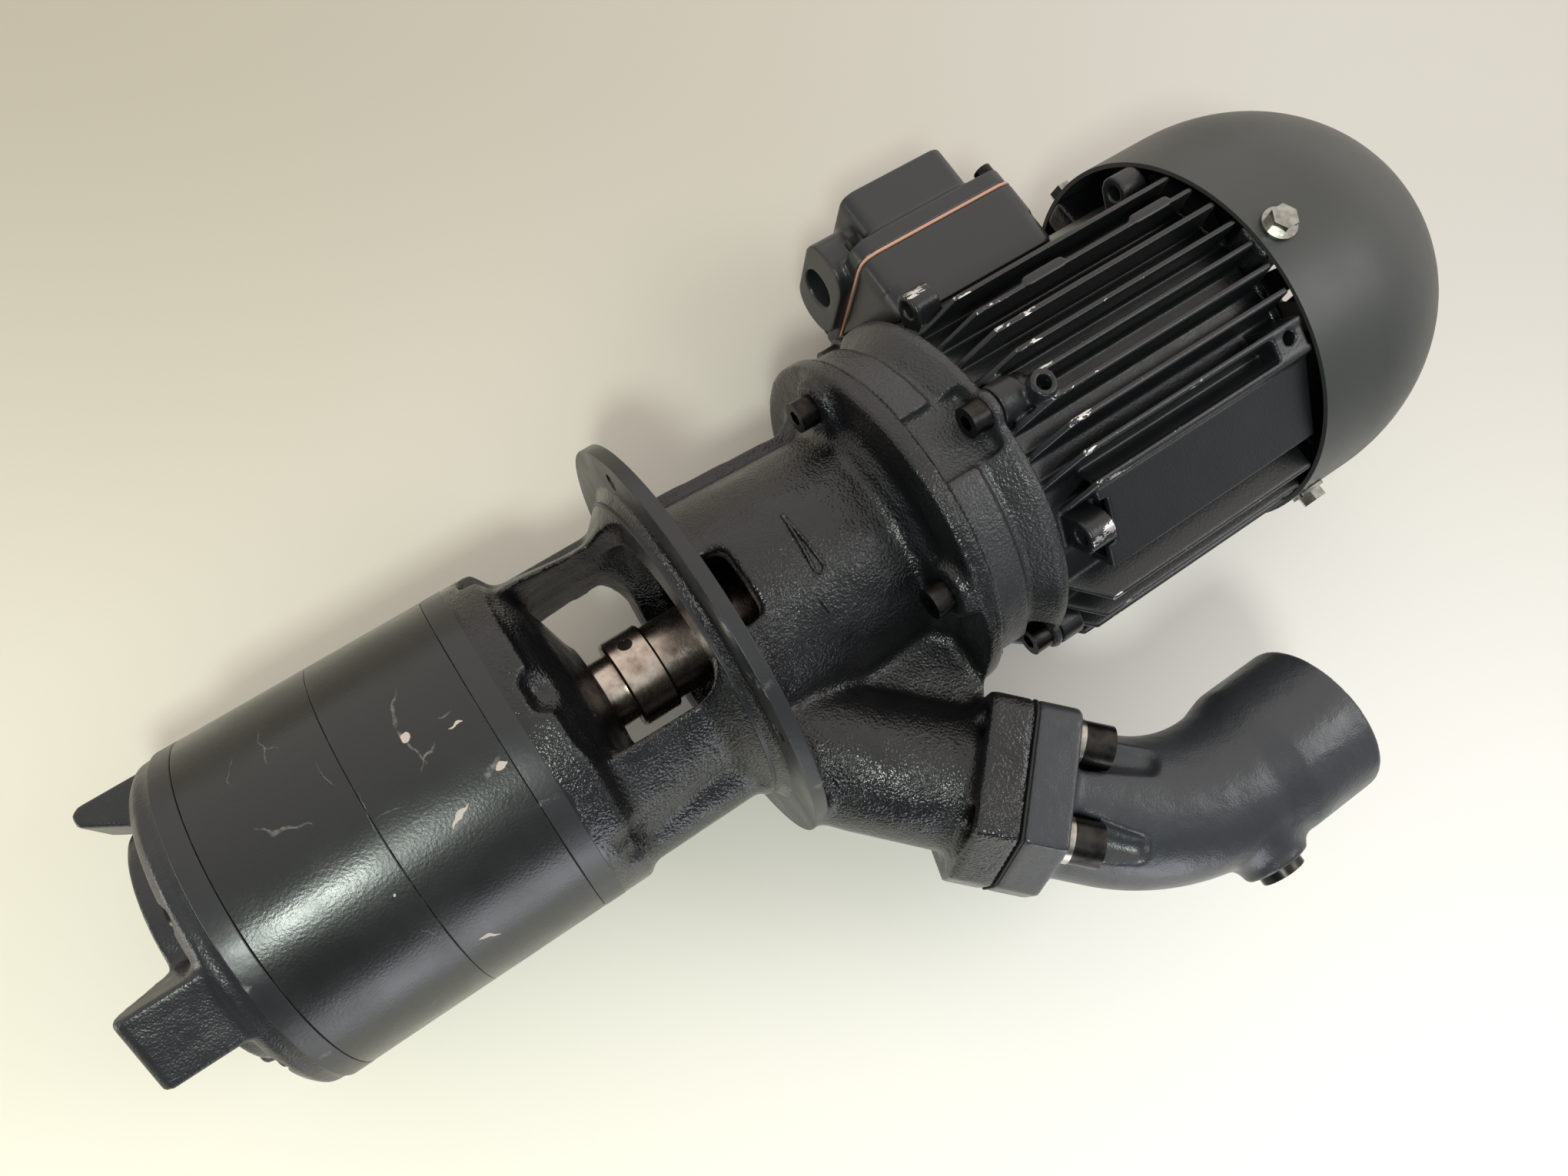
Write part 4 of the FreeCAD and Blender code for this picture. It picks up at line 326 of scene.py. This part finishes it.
def turned_ring(name, profile):
    """A turned part of a casting. Its profile is a loop of radius and height, in mm."""
    shape = bmesh.new()
    corners = [shape.verts.new((radius * MM, 0, height * MM)) for radius, height in profile]
    edges = [shape.edges.new((corners[number - 1], corners[number]))
             for number in range(len(corners))]
    bmesh.ops.spin(shape, geom=corners + edges, cent=(0, 0, 0), axis=(0, 0, 1), angle=math.tau,
                   steps=180, use_merge=True)
    bmesh.ops.recalc_face_normals(shape, faces=shape.faces)
    return as_piece(name, shape)


def raised_strokes(name, radius, strokes, half=0.85, steps=14):
    """Round strokes, half sunk in a round casting, as its pattern left them. Each runs between
    two places, given by azimuth in degrees and height in mm."""
    shape = bmesh.new()
    for (turn, height), (turn_end, height_end) in strokes:
        place = (Matrix.Rotation(math.radians(turn), 4, "Z")
                 @ Matrix.Translation(Vector((radius, 0, height)) * MM)
                 @ Matrix.Rotation(math.pi / 2, 4, "X"))
        section = bmesh.ops.create_circle(shape, cap_ends=True, segments=12, radius=half * MM,
                                          matrix=place)
        loop = section["verts"]
        faces = list(dict.fromkeys(face for vert in loop for face in vert.link_faces))
        edges = list(dict.fromkeys(edge for vert in loop for edge in vert.link_edges))
        bmesh.ops.spin(shape, geom=loop + edges + faces, cent=(0, 0, 0), axis=(0, 0, 1),
                       angle=math.radians(turn_end - turn), steps=steps,
                       dvec=(0, 0, (height_end - height) / steps * MM))
    bmesh.ops.recalc_face_normals(shape, faces=shape.faces)
    piece = as_piece(name, shape)
    piece.data.shade_smooth()
    return piece


# Finishes

CASING_RADIUS = 69.4
FIN_TIP = 88
CHIPS = [
    # azimuth and height of the middle, turn, length and width: through to the primer
    (-98, -108, 26, 3.4, 3.0), (-77, -87, 125, 3.4, 3.0), (-71, -107, 121, 8, 1.7),
    (-32, -120, 66, 8, 1.6), (-94, -92.5, 76, 4.5, 0.9), (-62, -137, 20, 1.2, 1.0),
]
SCRATCHES = [
    # as above, in the paint only
    (-108, -107, -29, 15, 1.1), (-99, -109, 26, 8, 1.6), (-93, -107, 10, 14, 1.0),
    (-90, -105, -48, 11, 0.8), (-98, -94, 77, 6, 0.9), (-78, -90, 110, 9, 2.6),
    (-69, -108, 100, 12, 1.6), (-74, -115, 121, 7, 1.2), (-76, -118, 83, 8, 0.9),
    (-85, -131, -7, 17, 0.5), (-120, -150, -1, 19, 0.6), (-118, -149, 61, 8, 0.5),
    (-118, -163, -8, 14, 0.5), (-93, -154, 62, 12, 1.0), (-95, -157, 62, 13, 1.2),
    (-92, -151, 62, 10, 0.8), (-100, -136, 8, 12, 0.5), (-18, -150, -49, 9, 0.5),
    (-82, -124, 81, 9, 0.5), (-45, -135, 20, 11, 0.4),
]


def worn_edges(tree, spot, start, end, patch_mm=5):
    """How far the proud edges are rubbed through, broken into patches."""
    bend = add(tree, "MapRange", {"Value": add(tree, "NewGeometry").outputs["Pointiness"],
                                  "From Min": start, "From Max": end})
    patch = add(tree, "TexNoise", {"Vector": spot, "Scale": 1 / (patch_mm * MM), "Detail": 4.0,
                                   "Roughness": 0.7})
    broken = add(tree, "MapRange", {"Value": patch.outputs["Fac"], "From Min": 0.5,
                                    "From Max": 0.62})
    return add(tree, "Math", {0: bend.outputs["Result"], 1: broken.outputs["Result"]},
               operation="MULTIPLY", use_clamp=True).outputs[0]


def cast_enamel(name, colour, rough, pebble_mm, pebble_depth, wave_depth, worn="#6d6964",
                edge=(0.53, 0.6), turned=None):
    """Black enamel sprayed over sand-cast iron: it pools between the grains, so its shine breaks
    into pebbles, and it is rubbed through to grey iron along the proud edges. The sand's own
    grains, of 0.3 mm, are too fine to show and are drawn as the clusters that the enamel bridges.
    A turned band between two heights is smooth, and its border wanders as the casting's skin
    begins."""
    made, tree, out = new_material(name)
    spot = add(tree, "TexCoord").outputs["Object"]
    wave = add(tree, "TexNoise", {"Vector": spot, "Scale": 1 / (11 * MM), "Detail": 2.0,
                                  "Roughness": 0.5})
    patch = add(tree, "TexNoise", {"Vector": spot, "Scale": 1 / (26 * MM), "Detail": 3.0,
                                   "Roughness": 0.6})
    pebble = add(tree, "TexNoise", {"Vector": spot, "Scale": 1 / (pebble_mm * MM), "Detail": 1.5,
                                    "Roughness": 0.45})
    strength = add(tree, "MapRange", {"Value": patch.outputs["Fac"], "From Min": 0.35,
                                      "From Max": 0.65, "To Min": 0.45,
                                      "To Max": 1.0}).outputs["Result"]
    flatness = 1.0
    if turned:
        height = add(tree, "SeparateXYZ", {"Vector": spot}).outputs["Z"]
        ragged = add(tree, "MapRange", {"Value": wave.outputs["Fac"], "From Min": 0.3,
                                        "From Max": 0.7, "To Min": -2.5 * MM, "To Max": 2.5 * MM})
        level = add(tree, "Math", {0: height, 1: ragged.outputs["Result"]}).outputs[0]
        flatness = add(tree, "MapRange", {"Value": level, "From Min": turned[0] * MM,
                                          "From Max": turned[1] * MM}).outputs["Result"]
        strength = add(tree, "Math", {0: strength, 1: flatness}, operation="MULTIPLY").outputs[0]
    broad = add(tree, "Bump", {"Height": wave.outputs["Fac"], "Distance": wave_depth * MM,
                               "Strength": flatness})
    fine = add(tree, "Bump", {"Height": pebble.outputs["Fac"], "Distance": pebble_depth * MM,
                              "Strength": strength, "Normal": broad.outputs["Normal"]})
    gloss = add(tree, "MapRange", {"Value": patch.outputs["Fac"], "From Min": 0.3, "From Max": 0.7,
                                   "To Min": rough - 0.05, "To Max": rough + 0.1})
    paint = add(tree, "BsdfPrincipled", {"Base Color": linear(colour),
                                         "Roughness": gloss.outputs["Result"],
                                         "Normal": fine.outputs["Normal"]})
    iron = add(tree, "BsdfPrincipled", {"Base Color": linear(worn), "Metallic": 0.6,
                                        "Roughness": 0.5, "Normal": fine.outputs["Normal"]})
    rubbed = add(tree, "MixShader", {0: worn_edges(tree, spot, *edge), 1: paint.outputs[0],
                                     2: iron.outputs[0]})
    tree.links.new(rubbed.outputs[0], out.inputs["Surface"])
    return made


def sprayed_paint(tree, spot, colour, rough, skin_mm, skin_depth, patch_mm, duller, shinier,
                  detail=2.0, blotch=0.6):
    """Sprayed enamel on a smooth base: its skin is like an eggshell's, drawn at about 1 mm so
    that it shows, and its shine changes in broad patches."""
    skin = add(tree, "TexNoise", {"Vector": spot, "Scale": 1 / (skin_mm * MM), "Detail": detail})
    patch = add(tree, "TexNoise", {"Vector": spot, "Scale": 1 / (patch_mm * MM), "Detail": 3.0,
                                   "Roughness": blotch})
    egg = add(tree, "Bump", {"Height": skin.outputs["Fac"], "Distance": skin_depth * MM,
                             "Strength": 1.0})
    gloss = add(tree, "MapRange", {"Value": patch.outputs["Fac"], "From Min": 0.3, "From Max": 0.7,
                                   "To Min": rough - shinier, "To Max": rough + duller})
    return add(tree, "BsdfPrincipled", {"Base Color": linear(colour),
                                        "Roughness": gloss.outputs["Result"],
                                        "Normal": egg.outputs["Normal"]})


def marked(tree, spread, strokes, inside, outside):
    """How strongly the nearest of some strokes marks a place on the unrolled casing."""
    nearest = None
    for azimuth, height, lean, length, width in strokes:
        middle = (math.radians(azimuth) * CASING_RADIUS * MM, height * MM, 0)
        local = add(tree, "Mapping", {"Vector": spread, "Location": middle,
                                      "Rotation": (0, 0, math.radians(lean)),
                                      "Scale": (length / 2 * MM, width / 2 * MM, 1)},
                    vector_type="TEXTURE")
        away = add(tree, "VectorMath", {0: local.outputs[0]}, operation="LENGTH").outputs["Value"]
        if nearest is not None:
            away = add(tree, "Math", {0: nearest, 1: away}, operation="MINIMUM").outputs[0]
        nearest = away
    return add(tree, "MapRange", {"Value": nearest, "From Min": inside, "From Max": outside,
                                  "To Min": 1.0, "To Max": 0.0}).outputs["Result"]


def unrolled_casing(tree, spot, ragged):
    """A place on the casing, unrolled flat, and shaken so that a stroke's edge is ragged and its
    line wanders."""
    apart = add(tree, "SeparateXYZ", {"Vector": spot})
    turn = add(tree, "Math", {0: apart.outputs["Y"], 1: apart.outputs["X"]}, operation="ARCTAN2")
    round_it = add(tree, "Math", {0: turn.outputs[0], 1: CASING_RADIUS * MM},
                   operation="MULTIPLY")
    flat = add(tree, "CombineXYZ", {"X": round_it.outputs[0], "Y": apart.outputs["Z"]})
    bent = add(tree, "TexNoise", {"Vector": spot, "Scale": 1 / (7 * MM), "Detail": 1.0})
    spread = flat.outputs[0]
    for noise, reach in ((ragged, 1.2 * MM), (bent, 7 * MM)):
        centred = add(tree, "VectorMath", {0: noise.outputs["Color"], 1: (-0.5, -0.5, -0.5)},
                      operation="ADD")
        shift = add(tree, "VectorMath", {0: centred.outputs[0], "Scale": reach}, operation="SCALE")
        spread = add(tree, "VectorMath", {0: spread, 1: shift.outputs[0]},
                     operation="ADD").outputs[0]
    return spread


def casing_enamel(name, colour, rough):
    """Thin satin enamel on turned iron: even, with an eggshell skin, and scratched and chipped
    where the casing has stood against other metal."""
    made, tree, out = new_material(name)
    spot = add(tree, "TexCoord").outputs["Object"]
    ragged = add(tree, "TexNoise", {"Vector": spot, "Scale": 1 / (1.6 * MM), "Detail": 3.0,
                                    "Roughness": 0.7})
    spread = unrolled_casing(tree, spot, ragged)
    chips = marked(tree, spread, CHIPS, inside=0.9, outside=1.05)
    strength = add(tree, "MapRange", {"Value": ragged.outputs["Fac"], "From Min": 0.35,
                                      "From Max": 0.6, "To Min": 0.15, "To Max": 0.75})
    scraped = marked(tree, spread, SCRATCHES, inside=0.4, outside=1.1)
    scratches = add(tree, "Math", {0: scraped, 1: strength.outputs["Result"]},
                    operation="MULTIPLY")
    paint = sprayed_paint(tree, spot, colour, rough, skin_mm=1.1, skin_depth=0.07,
                          patch_mm=24, duller=0.07, shinier=0.04)
    rubbed = add(tree, "BsdfPrincipled", {"Base Color": linear("#6f6d68"), "Roughness": 0.6})
    primer = add(tree, "BsdfPrincipled", {"Base Color": linear("#b3a79d"), "Roughness": 0.65})
    edges = worn_edges(tree, spot, start=0.54, end=0.62)
    worn = add(tree, "Math", {0: scratches.outputs[0], 1: edges}, operation="MAXIMUM")
    scratched = add(tree, "MixShader", {0: worn.outputs[0], 1: paint.outputs[0],
                                        2: rubbed.outputs[0]})
    chipped = add(tree, "MixShader", {0: chips, 1: scratched.outputs[0], 2: primer.outputs[0]})
    tree.links.new(chipped.outputs[0], out.inputs["Surface"])
    return made


def sheet_enamel(name, colour, rough):
    """Satin enamel on a drawn sheet: an even, nearly matte black with a faint mottle."""
    made, tree, out = new_material(name)
    spot = add(tree, "TexCoord").outputs["Object"]
    paint = sprayed_paint(tree, spot, colour, rough, skin_mm=0.9, skin_depth=0.03,
                          patch_mm=35, duller=0.05, shinier=0.04, detail=1.0, blotch=0.55)
    tree.links.new(paint.outputs[0], out.inputs["Surface"])
    return made


def fin_enamel(name, colour, rough):
    """Enamel on die-cast aluminium: semi-gloss between the fins, and chipped to bright metal on
    their tips, more so towards the pump."""
    made, tree, out = new_material(name)
    spot = add(tree, "TexCoord").outputs["Object"]
    paint = sprayed_paint(tree, spot, colour, rough, skin_mm=1.2, skin_depth=0.1,
                          patch_mm=16, duller=0.08, shinier=0.05)
    bright = add(tree, "BsdfPrincipled", {"Base Color": linear("#c9c7c2"), "Metallic": 1.0,
                                          "Roughness": 0.38})
    across = add(tree, "VectorMath", {0: spot, 1: (1, 1, 0)}, operation="MULTIPLY")
    reach = add(tree, "VectorMath", {0: across.outputs[0]}, operation="LENGTH").outputs["Value"]
    tip = add(tree, "Math", {0: reach, 1: FIN_TIP * MM, 2: 0.7 * MM}, operation="COMPARE")
    drawn = add(tree, "Mapping", {"Vector": spot, "Scale": (1, 1, 0.3)})
    patch = add(tree, "TexNoise", {"Vector": drawn.outputs[0], "Scale": 1 / (4 * MM),
                                   "Detail": 4.0, "Roughness": 0.75})
    height = add(tree, "SeparateXYZ", {"Vector": spot}).outputs["Z"]
    least = add(tree, "MapRange", {"Value": height, "From Min": 155 * MM, "From Max": 180 * MM,
                                   "To Min": 0.54, "To Max": 0.69})
    bare = add(tree, "Math", {0: patch.outputs["Fac"], 1: least.outputs["Result"]},
               operation="GREATER_THAN")
    worn = add(tree, "Math", {0: tip.outputs[0], 1: bare.outputs[0]}, operation="MULTIPLY")
    chipped = add(tree, "MixShader", {0: worn.outputs[0], 1: paint.outputs[0],
                                      2: bright.outputs[0]})
    tree.links.new(chipped.outputs[0], out.inputs["Surface"])
    return made


def bare_metal(name, colour, rough, stain=None):
    """Turned or plated metal with faint marks round the shaft, and stains where oil has dried.
    A tool's real feed of 0.1 mm is too fine to show, so the marks are drawn 0.3 mm apart."""
    made, tree, out = new_material(name)
    spot = add(tree, "TexCoord").outputs["Object"]
    squash = add(tree, "Mapping", {"Vector": spot, "Scale": (1, 1, 6)})
    tooling = add(tree, "TexNoise", {"Vector": squash.outputs[0], "Scale": 1 / (1.8 * MM),
                                     "Detail": 2.0})
    gloss = add(tree, "MapRange", {"Value": tooling.outputs["Fac"], "To Min": rough - 0.08,
                                   "To Max": rough + 0.08})
    tint = linear(colour)
    if stain:
        cloud = add(tree, "TexNoise", {"Vector": spot, "Scale": 1 / (7 * MM), "Detail": 3.0,
                                       "Roughness": 0.6})
        amount = add(tree, "MapRange", {"Value": cloud.outputs["Fac"], "From Min": 0.4,
                                        "From Max": 0.7})
        tint = add(tree, "Mix", {"Factor": amount.outputs["Result"], "A": tint,
                                 "B": linear(stain)}, data_type="RGBA").outputs["Result"]
    metal = add(tree, "BsdfPrincipled", {"Base Color": tint, "Metallic": 1.0,
                                         "Roughness": gloss.outputs["Result"]})
    tree.links.new(metal.outputs[0], out.inputs["Surface"])
    return made


def moulded(name, colour, rough):
    """A smooth moulded or pressed surface, whose shine has a faint mottle."""
    made, tree, out = new_material(name)
    spot = add(tree, "TexCoord").outputs["Object"]
    mottle = add(tree, "TexNoise", {"Vector": spot, "Scale": 1 / (3 * MM), "Detail": 2.0})
    gloss = add(tree, "MapRange", {"Value": mottle.outputs["Fac"], "To Min": rough - 0.06,
                                   "To Max": rough + 0.06})
    body = add(tree, "BsdfPrincipled", {"Base Color": linear(colour),
                                        "Roughness": gloss.outputs["Result"]})
    tree.links.new(body.outputs[0], out.inputs["Surface"])
    return made


# Each finish takes its colour and roughness. Enamel on sand-cast iron also takes the size and
# depth of its pebbles and the depth of its waves, in mm.
FINISHES = {
    # enamels: near black, and the smoother the base, the broader and softer the sheen
    "black_casting": cast_enamel("enamel_on_sand_cast_iron", "#1c1c1e", 0.24, 1.1, 0.6, 0.9),
    "black_casing": casing_enamel("enamel_on_turned_iron", "#151716", 0.27),
    "black_motor": fin_enamel("enamel_on_cast_aluminium", "#17181a", 0.32),
    "black_cowl": sheet_enamel("enamel_on_pressed_steel", "#323432", 0.42),
    "box_enamel": sheet_enamel("enamel_on_die_cast_box", "#232425", 0.33),
    # seals and gaskets: dull, and one thin orange line round the terminal box
    "box_gasket": moulded("orange_silicone_rubber", "#b98e76", 0.6),
    "fibre_gasket": moulded("pressed_fibre_sheet", "#191817", 0.8),
    "seal_rubber": moulded("black_nitrile_rubber", "#141414", 0.6),
    # metals: bright steels are stained brown with oil, and the oxide is nearly black
    "bronze": bare_metal("machined_bronze", "#b08a4e", 0.32),
    "grey_iron": bare_metal("bare_cast_iron", "#5c5a58", 0.55),
    "bright_steel": bare_metal("turned_steel", "#b9b6b0", 0.26, stain="#8a7a6c"),
    # the coupling's steel is brown with oil of its own, and lightened past that: a painted
    # highlight and reflection of the bright window, standing against the shade inside the lantern
    "dark_steel": bare_metal("browned_steel_and_painted_sheen", "#bcafa4", 0.27, stain="#8c7b70"),
    "black_steel": bare_metal("black_oxide_steel", "#3a3836", 0.3, stain="#1d1b1a"),
    "zinc_steel": bare_metal("bright_zinc_plate", "#a3a29c", 0.2, stain="#6c6a64"),
    "lamination": bare_metal("stacked_sheet_steel", "#6f7072", 0.4),
    "cast_aluminium": bare_metal("die_cast_aluminium", "#b9babd", 0.35),
    # varnish and plastics: smooth, from glossy copper brown to satin black
    "winding_enamel": moulded("varnished_copper_wire", "#7a3419", 0.3),
    "fan_plastic": moulded("moulded_nylon", "#101011", 0.5),
    "block_plastic": moulded("moulded_phenolic", "#2a1c14", 0.4),
}
OWN_FINISHES = {
    # castings whose skin is coarser, smoother or duller than the others', and blackened screws.
    # The elbow and the drive-end shield are also lighter, with painted sheen in their colour
    "pump_bracket": cast_enamel("enamel_on_bracket_iron", "#131315", 0.22, 1.1, 0.75, 0.9,
                                turned=(-74, -73)),
    "suction_cover": cast_enamel("enamel_on_cover_iron", "#1c1d1f", 0.32, 0.8, 0.28, 0.6,
                                 turned=(-187, -188)),
    # the elbow's grey is partly its own enamel and partly painted sheen, raised to the brightness
    # of its highlights
    "discharge_elbow": cast_enamel("elbow_enamel_and_painted_sheen", "#2f3135", 0.3, 0.8, 0.16, 0.6,
                                   edge=(0.6, 0.75)),
    # the drive-end shield's lighter grey is a painted sheen, for the light that falls on it from
    # above the picture
    "drive_end_shield": cast_enamel("shield_enamel_with_painted_sheen", "#2d2d2f", 0.3, 1.1, 0.75, 0.7),
    "lid_screws": FINISHES["black_steel"],
}
TURNED_FINISH = cast_enamel("enamel_on_turned_flange", "#1d1e20", 0.33, 1.3, 0.06, 0.15,
                            worn="#8f8d89", edge=(0.55, 0.68))


def finish_of(solid):
    """A solid's own finish, or that of its slot."""
    return OWN_FINISHES.get(solid, FINISHES[slots[solid]])


# Castings

TIE_CIRCLE = 58


def on_tie_circle(angle, height):
    """A place over a tie bolt, in the bracket's shoulder."""
    outwards = Matrix.Translation(Vector((TIE_CIRCLE, 0, height)) * MM)
    return Matrix.Rotation(math.radians(angle), 4, "Z") @ outwards


FILLS = {
    # radius, depth and place of metal that the moulder left on
    "pump_bracket": [(9.6, 10, on_tie_circle(-30, -67))],
}
CASTINGS = {
    # voxel and closing in mm, smoothing passes, share of the faces kept
    "pump_bracket": (1.1, 2.6, 11, 0.38),
    "suction_cover": (0.9, 1.8, 7, 0.6),
    "discharge_elbow": (0.8, 4.0, 14, 0.6),
    "drive_end_shield": (0.8, 1.5, 10, 0.6),
    "fan_end_shield": (0.9, 1.2, 6, 0.5),
    "motor_housing": (0.8, 0, 2, 0.2),
    "terminal_box_lid": (0.7, 1.0, 4, 0.5),
    "terminal_box_base": (0.7, 0.8, 3, 0.5),
}


def make_castings():
    """Each casting's skin stands for its solid."""
    for name, settings in CASTINGS.items():
        piece = cast_skin(name, *settings)
        belongs(piece, name, finish_of(name))
        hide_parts(name)


# Turned parts

# how far the rings stand proud of the cast skins, and stay back from the casing's joints
FLANGE_PROUD = 0.15
BAND_PROUD = 0.1
JOINT_LINE = 0.05
BRACKET_JOINT = -83
BRACKET_BAND_TOP = -74
COVER_JOINT = -181.2
COVER_BAND = 8.1
RING_BACK = 62
FLANGE_DISC = [
    # radius and height: the spigot below, and the disc on it
    (57, -5 - FLANGE_PROUD), (69 + FLANGE_PROUD, -5 - FLANGE_PROUD),
    (69 + FLANGE_PROUD, -FLANGE_PROUD), (90 + FLANGE_PROUD, -FLANGE_PROUD),
    (90 + FLANGE_PROUD, 5.5 + FLANGE_PROUD), (57, 5.5 + FLANGE_PROUD),
]


def band(lower, upper):
    """The outline of a turned band between two heights, a hair proud of the casing."""
    outer = CASING_RADIUS + BAND_PROUD
    return [(RING_BACK, lower), (outer, lower), (outer, upper), (RING_BACK, upper)]


def make_turned_parts():
    """The casing rings, and crisp rings on the castings where they were turned."""
    for name in ("lower_stage_casing", "upper_stage_casing"):
        piece = eased_casing(name)
        belongs(piece, name, finish_of(name))
        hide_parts(name)
    flange = turned_ring("tank_flange_disc", FLANGE_DISC)
    drill(flange, circle=80, radius=3.5)
    bracket_band = turned_ring("bracket_turned_band",
                               band(BRACKET_JOINT + JOINT_LINE, BRACKET_BAND_TOP))
    cover_band = turned_ring("cover_turned_band",
                             band(COVER_JOINT - COVER_BAND, COVER_JOINT - JOINT_LINE))
    for piece, solid in ((flange, "pump_bracket"), (bracket_band, "pump_bracket"),
                         (cover_band, "suction_cover")):
        ease_edges(piece)
        belongs(piece, solid, TURNED_FINISH)


# Flow arrow

FLOW_ARROW = [
    # two long sides, two short ones that close them, and a dash past them
    ((-105, 49.2), (-76, 47)), ((-105, 49.2), (-76, 51.4)), ((-76.5, 47), (-74, 49.2)),
    ((-76.5, 51.4), (-74, 49.2)), ((-65, 43.4), (-58, 44.6)),
]


def make_flow_arrow():
    """The arrow that the pattern left on the bracket's neck."""
    arrow = raised_strokes("flow_arrow", radius=52.3, strokes=FLOW_ARROW)
    belongs(arrow, "pump_bracket", finish_of("pump_bracket"))


# Solids that still show

def dress_solids():
    """Each solid takes its finish, and its turned faces are smooth."""
    for name, node in nodes.items():
        node.data.materials.clear()
        node.data.materials.append(finish_of(name))
        node.data.shade_smooth()
        node.data.set_sharp_from_angle(angle=math.radians(30))


# The scene

bpy.context.scene.view_settings.view_transform = "Standard"
make_camera()
make_table()
make_world()
for name, settings in LAMPS.items():
    make_lamp(name, *settings)
make_castings()
make_turned_parts()
make_flow_arrow()
dress_solids()
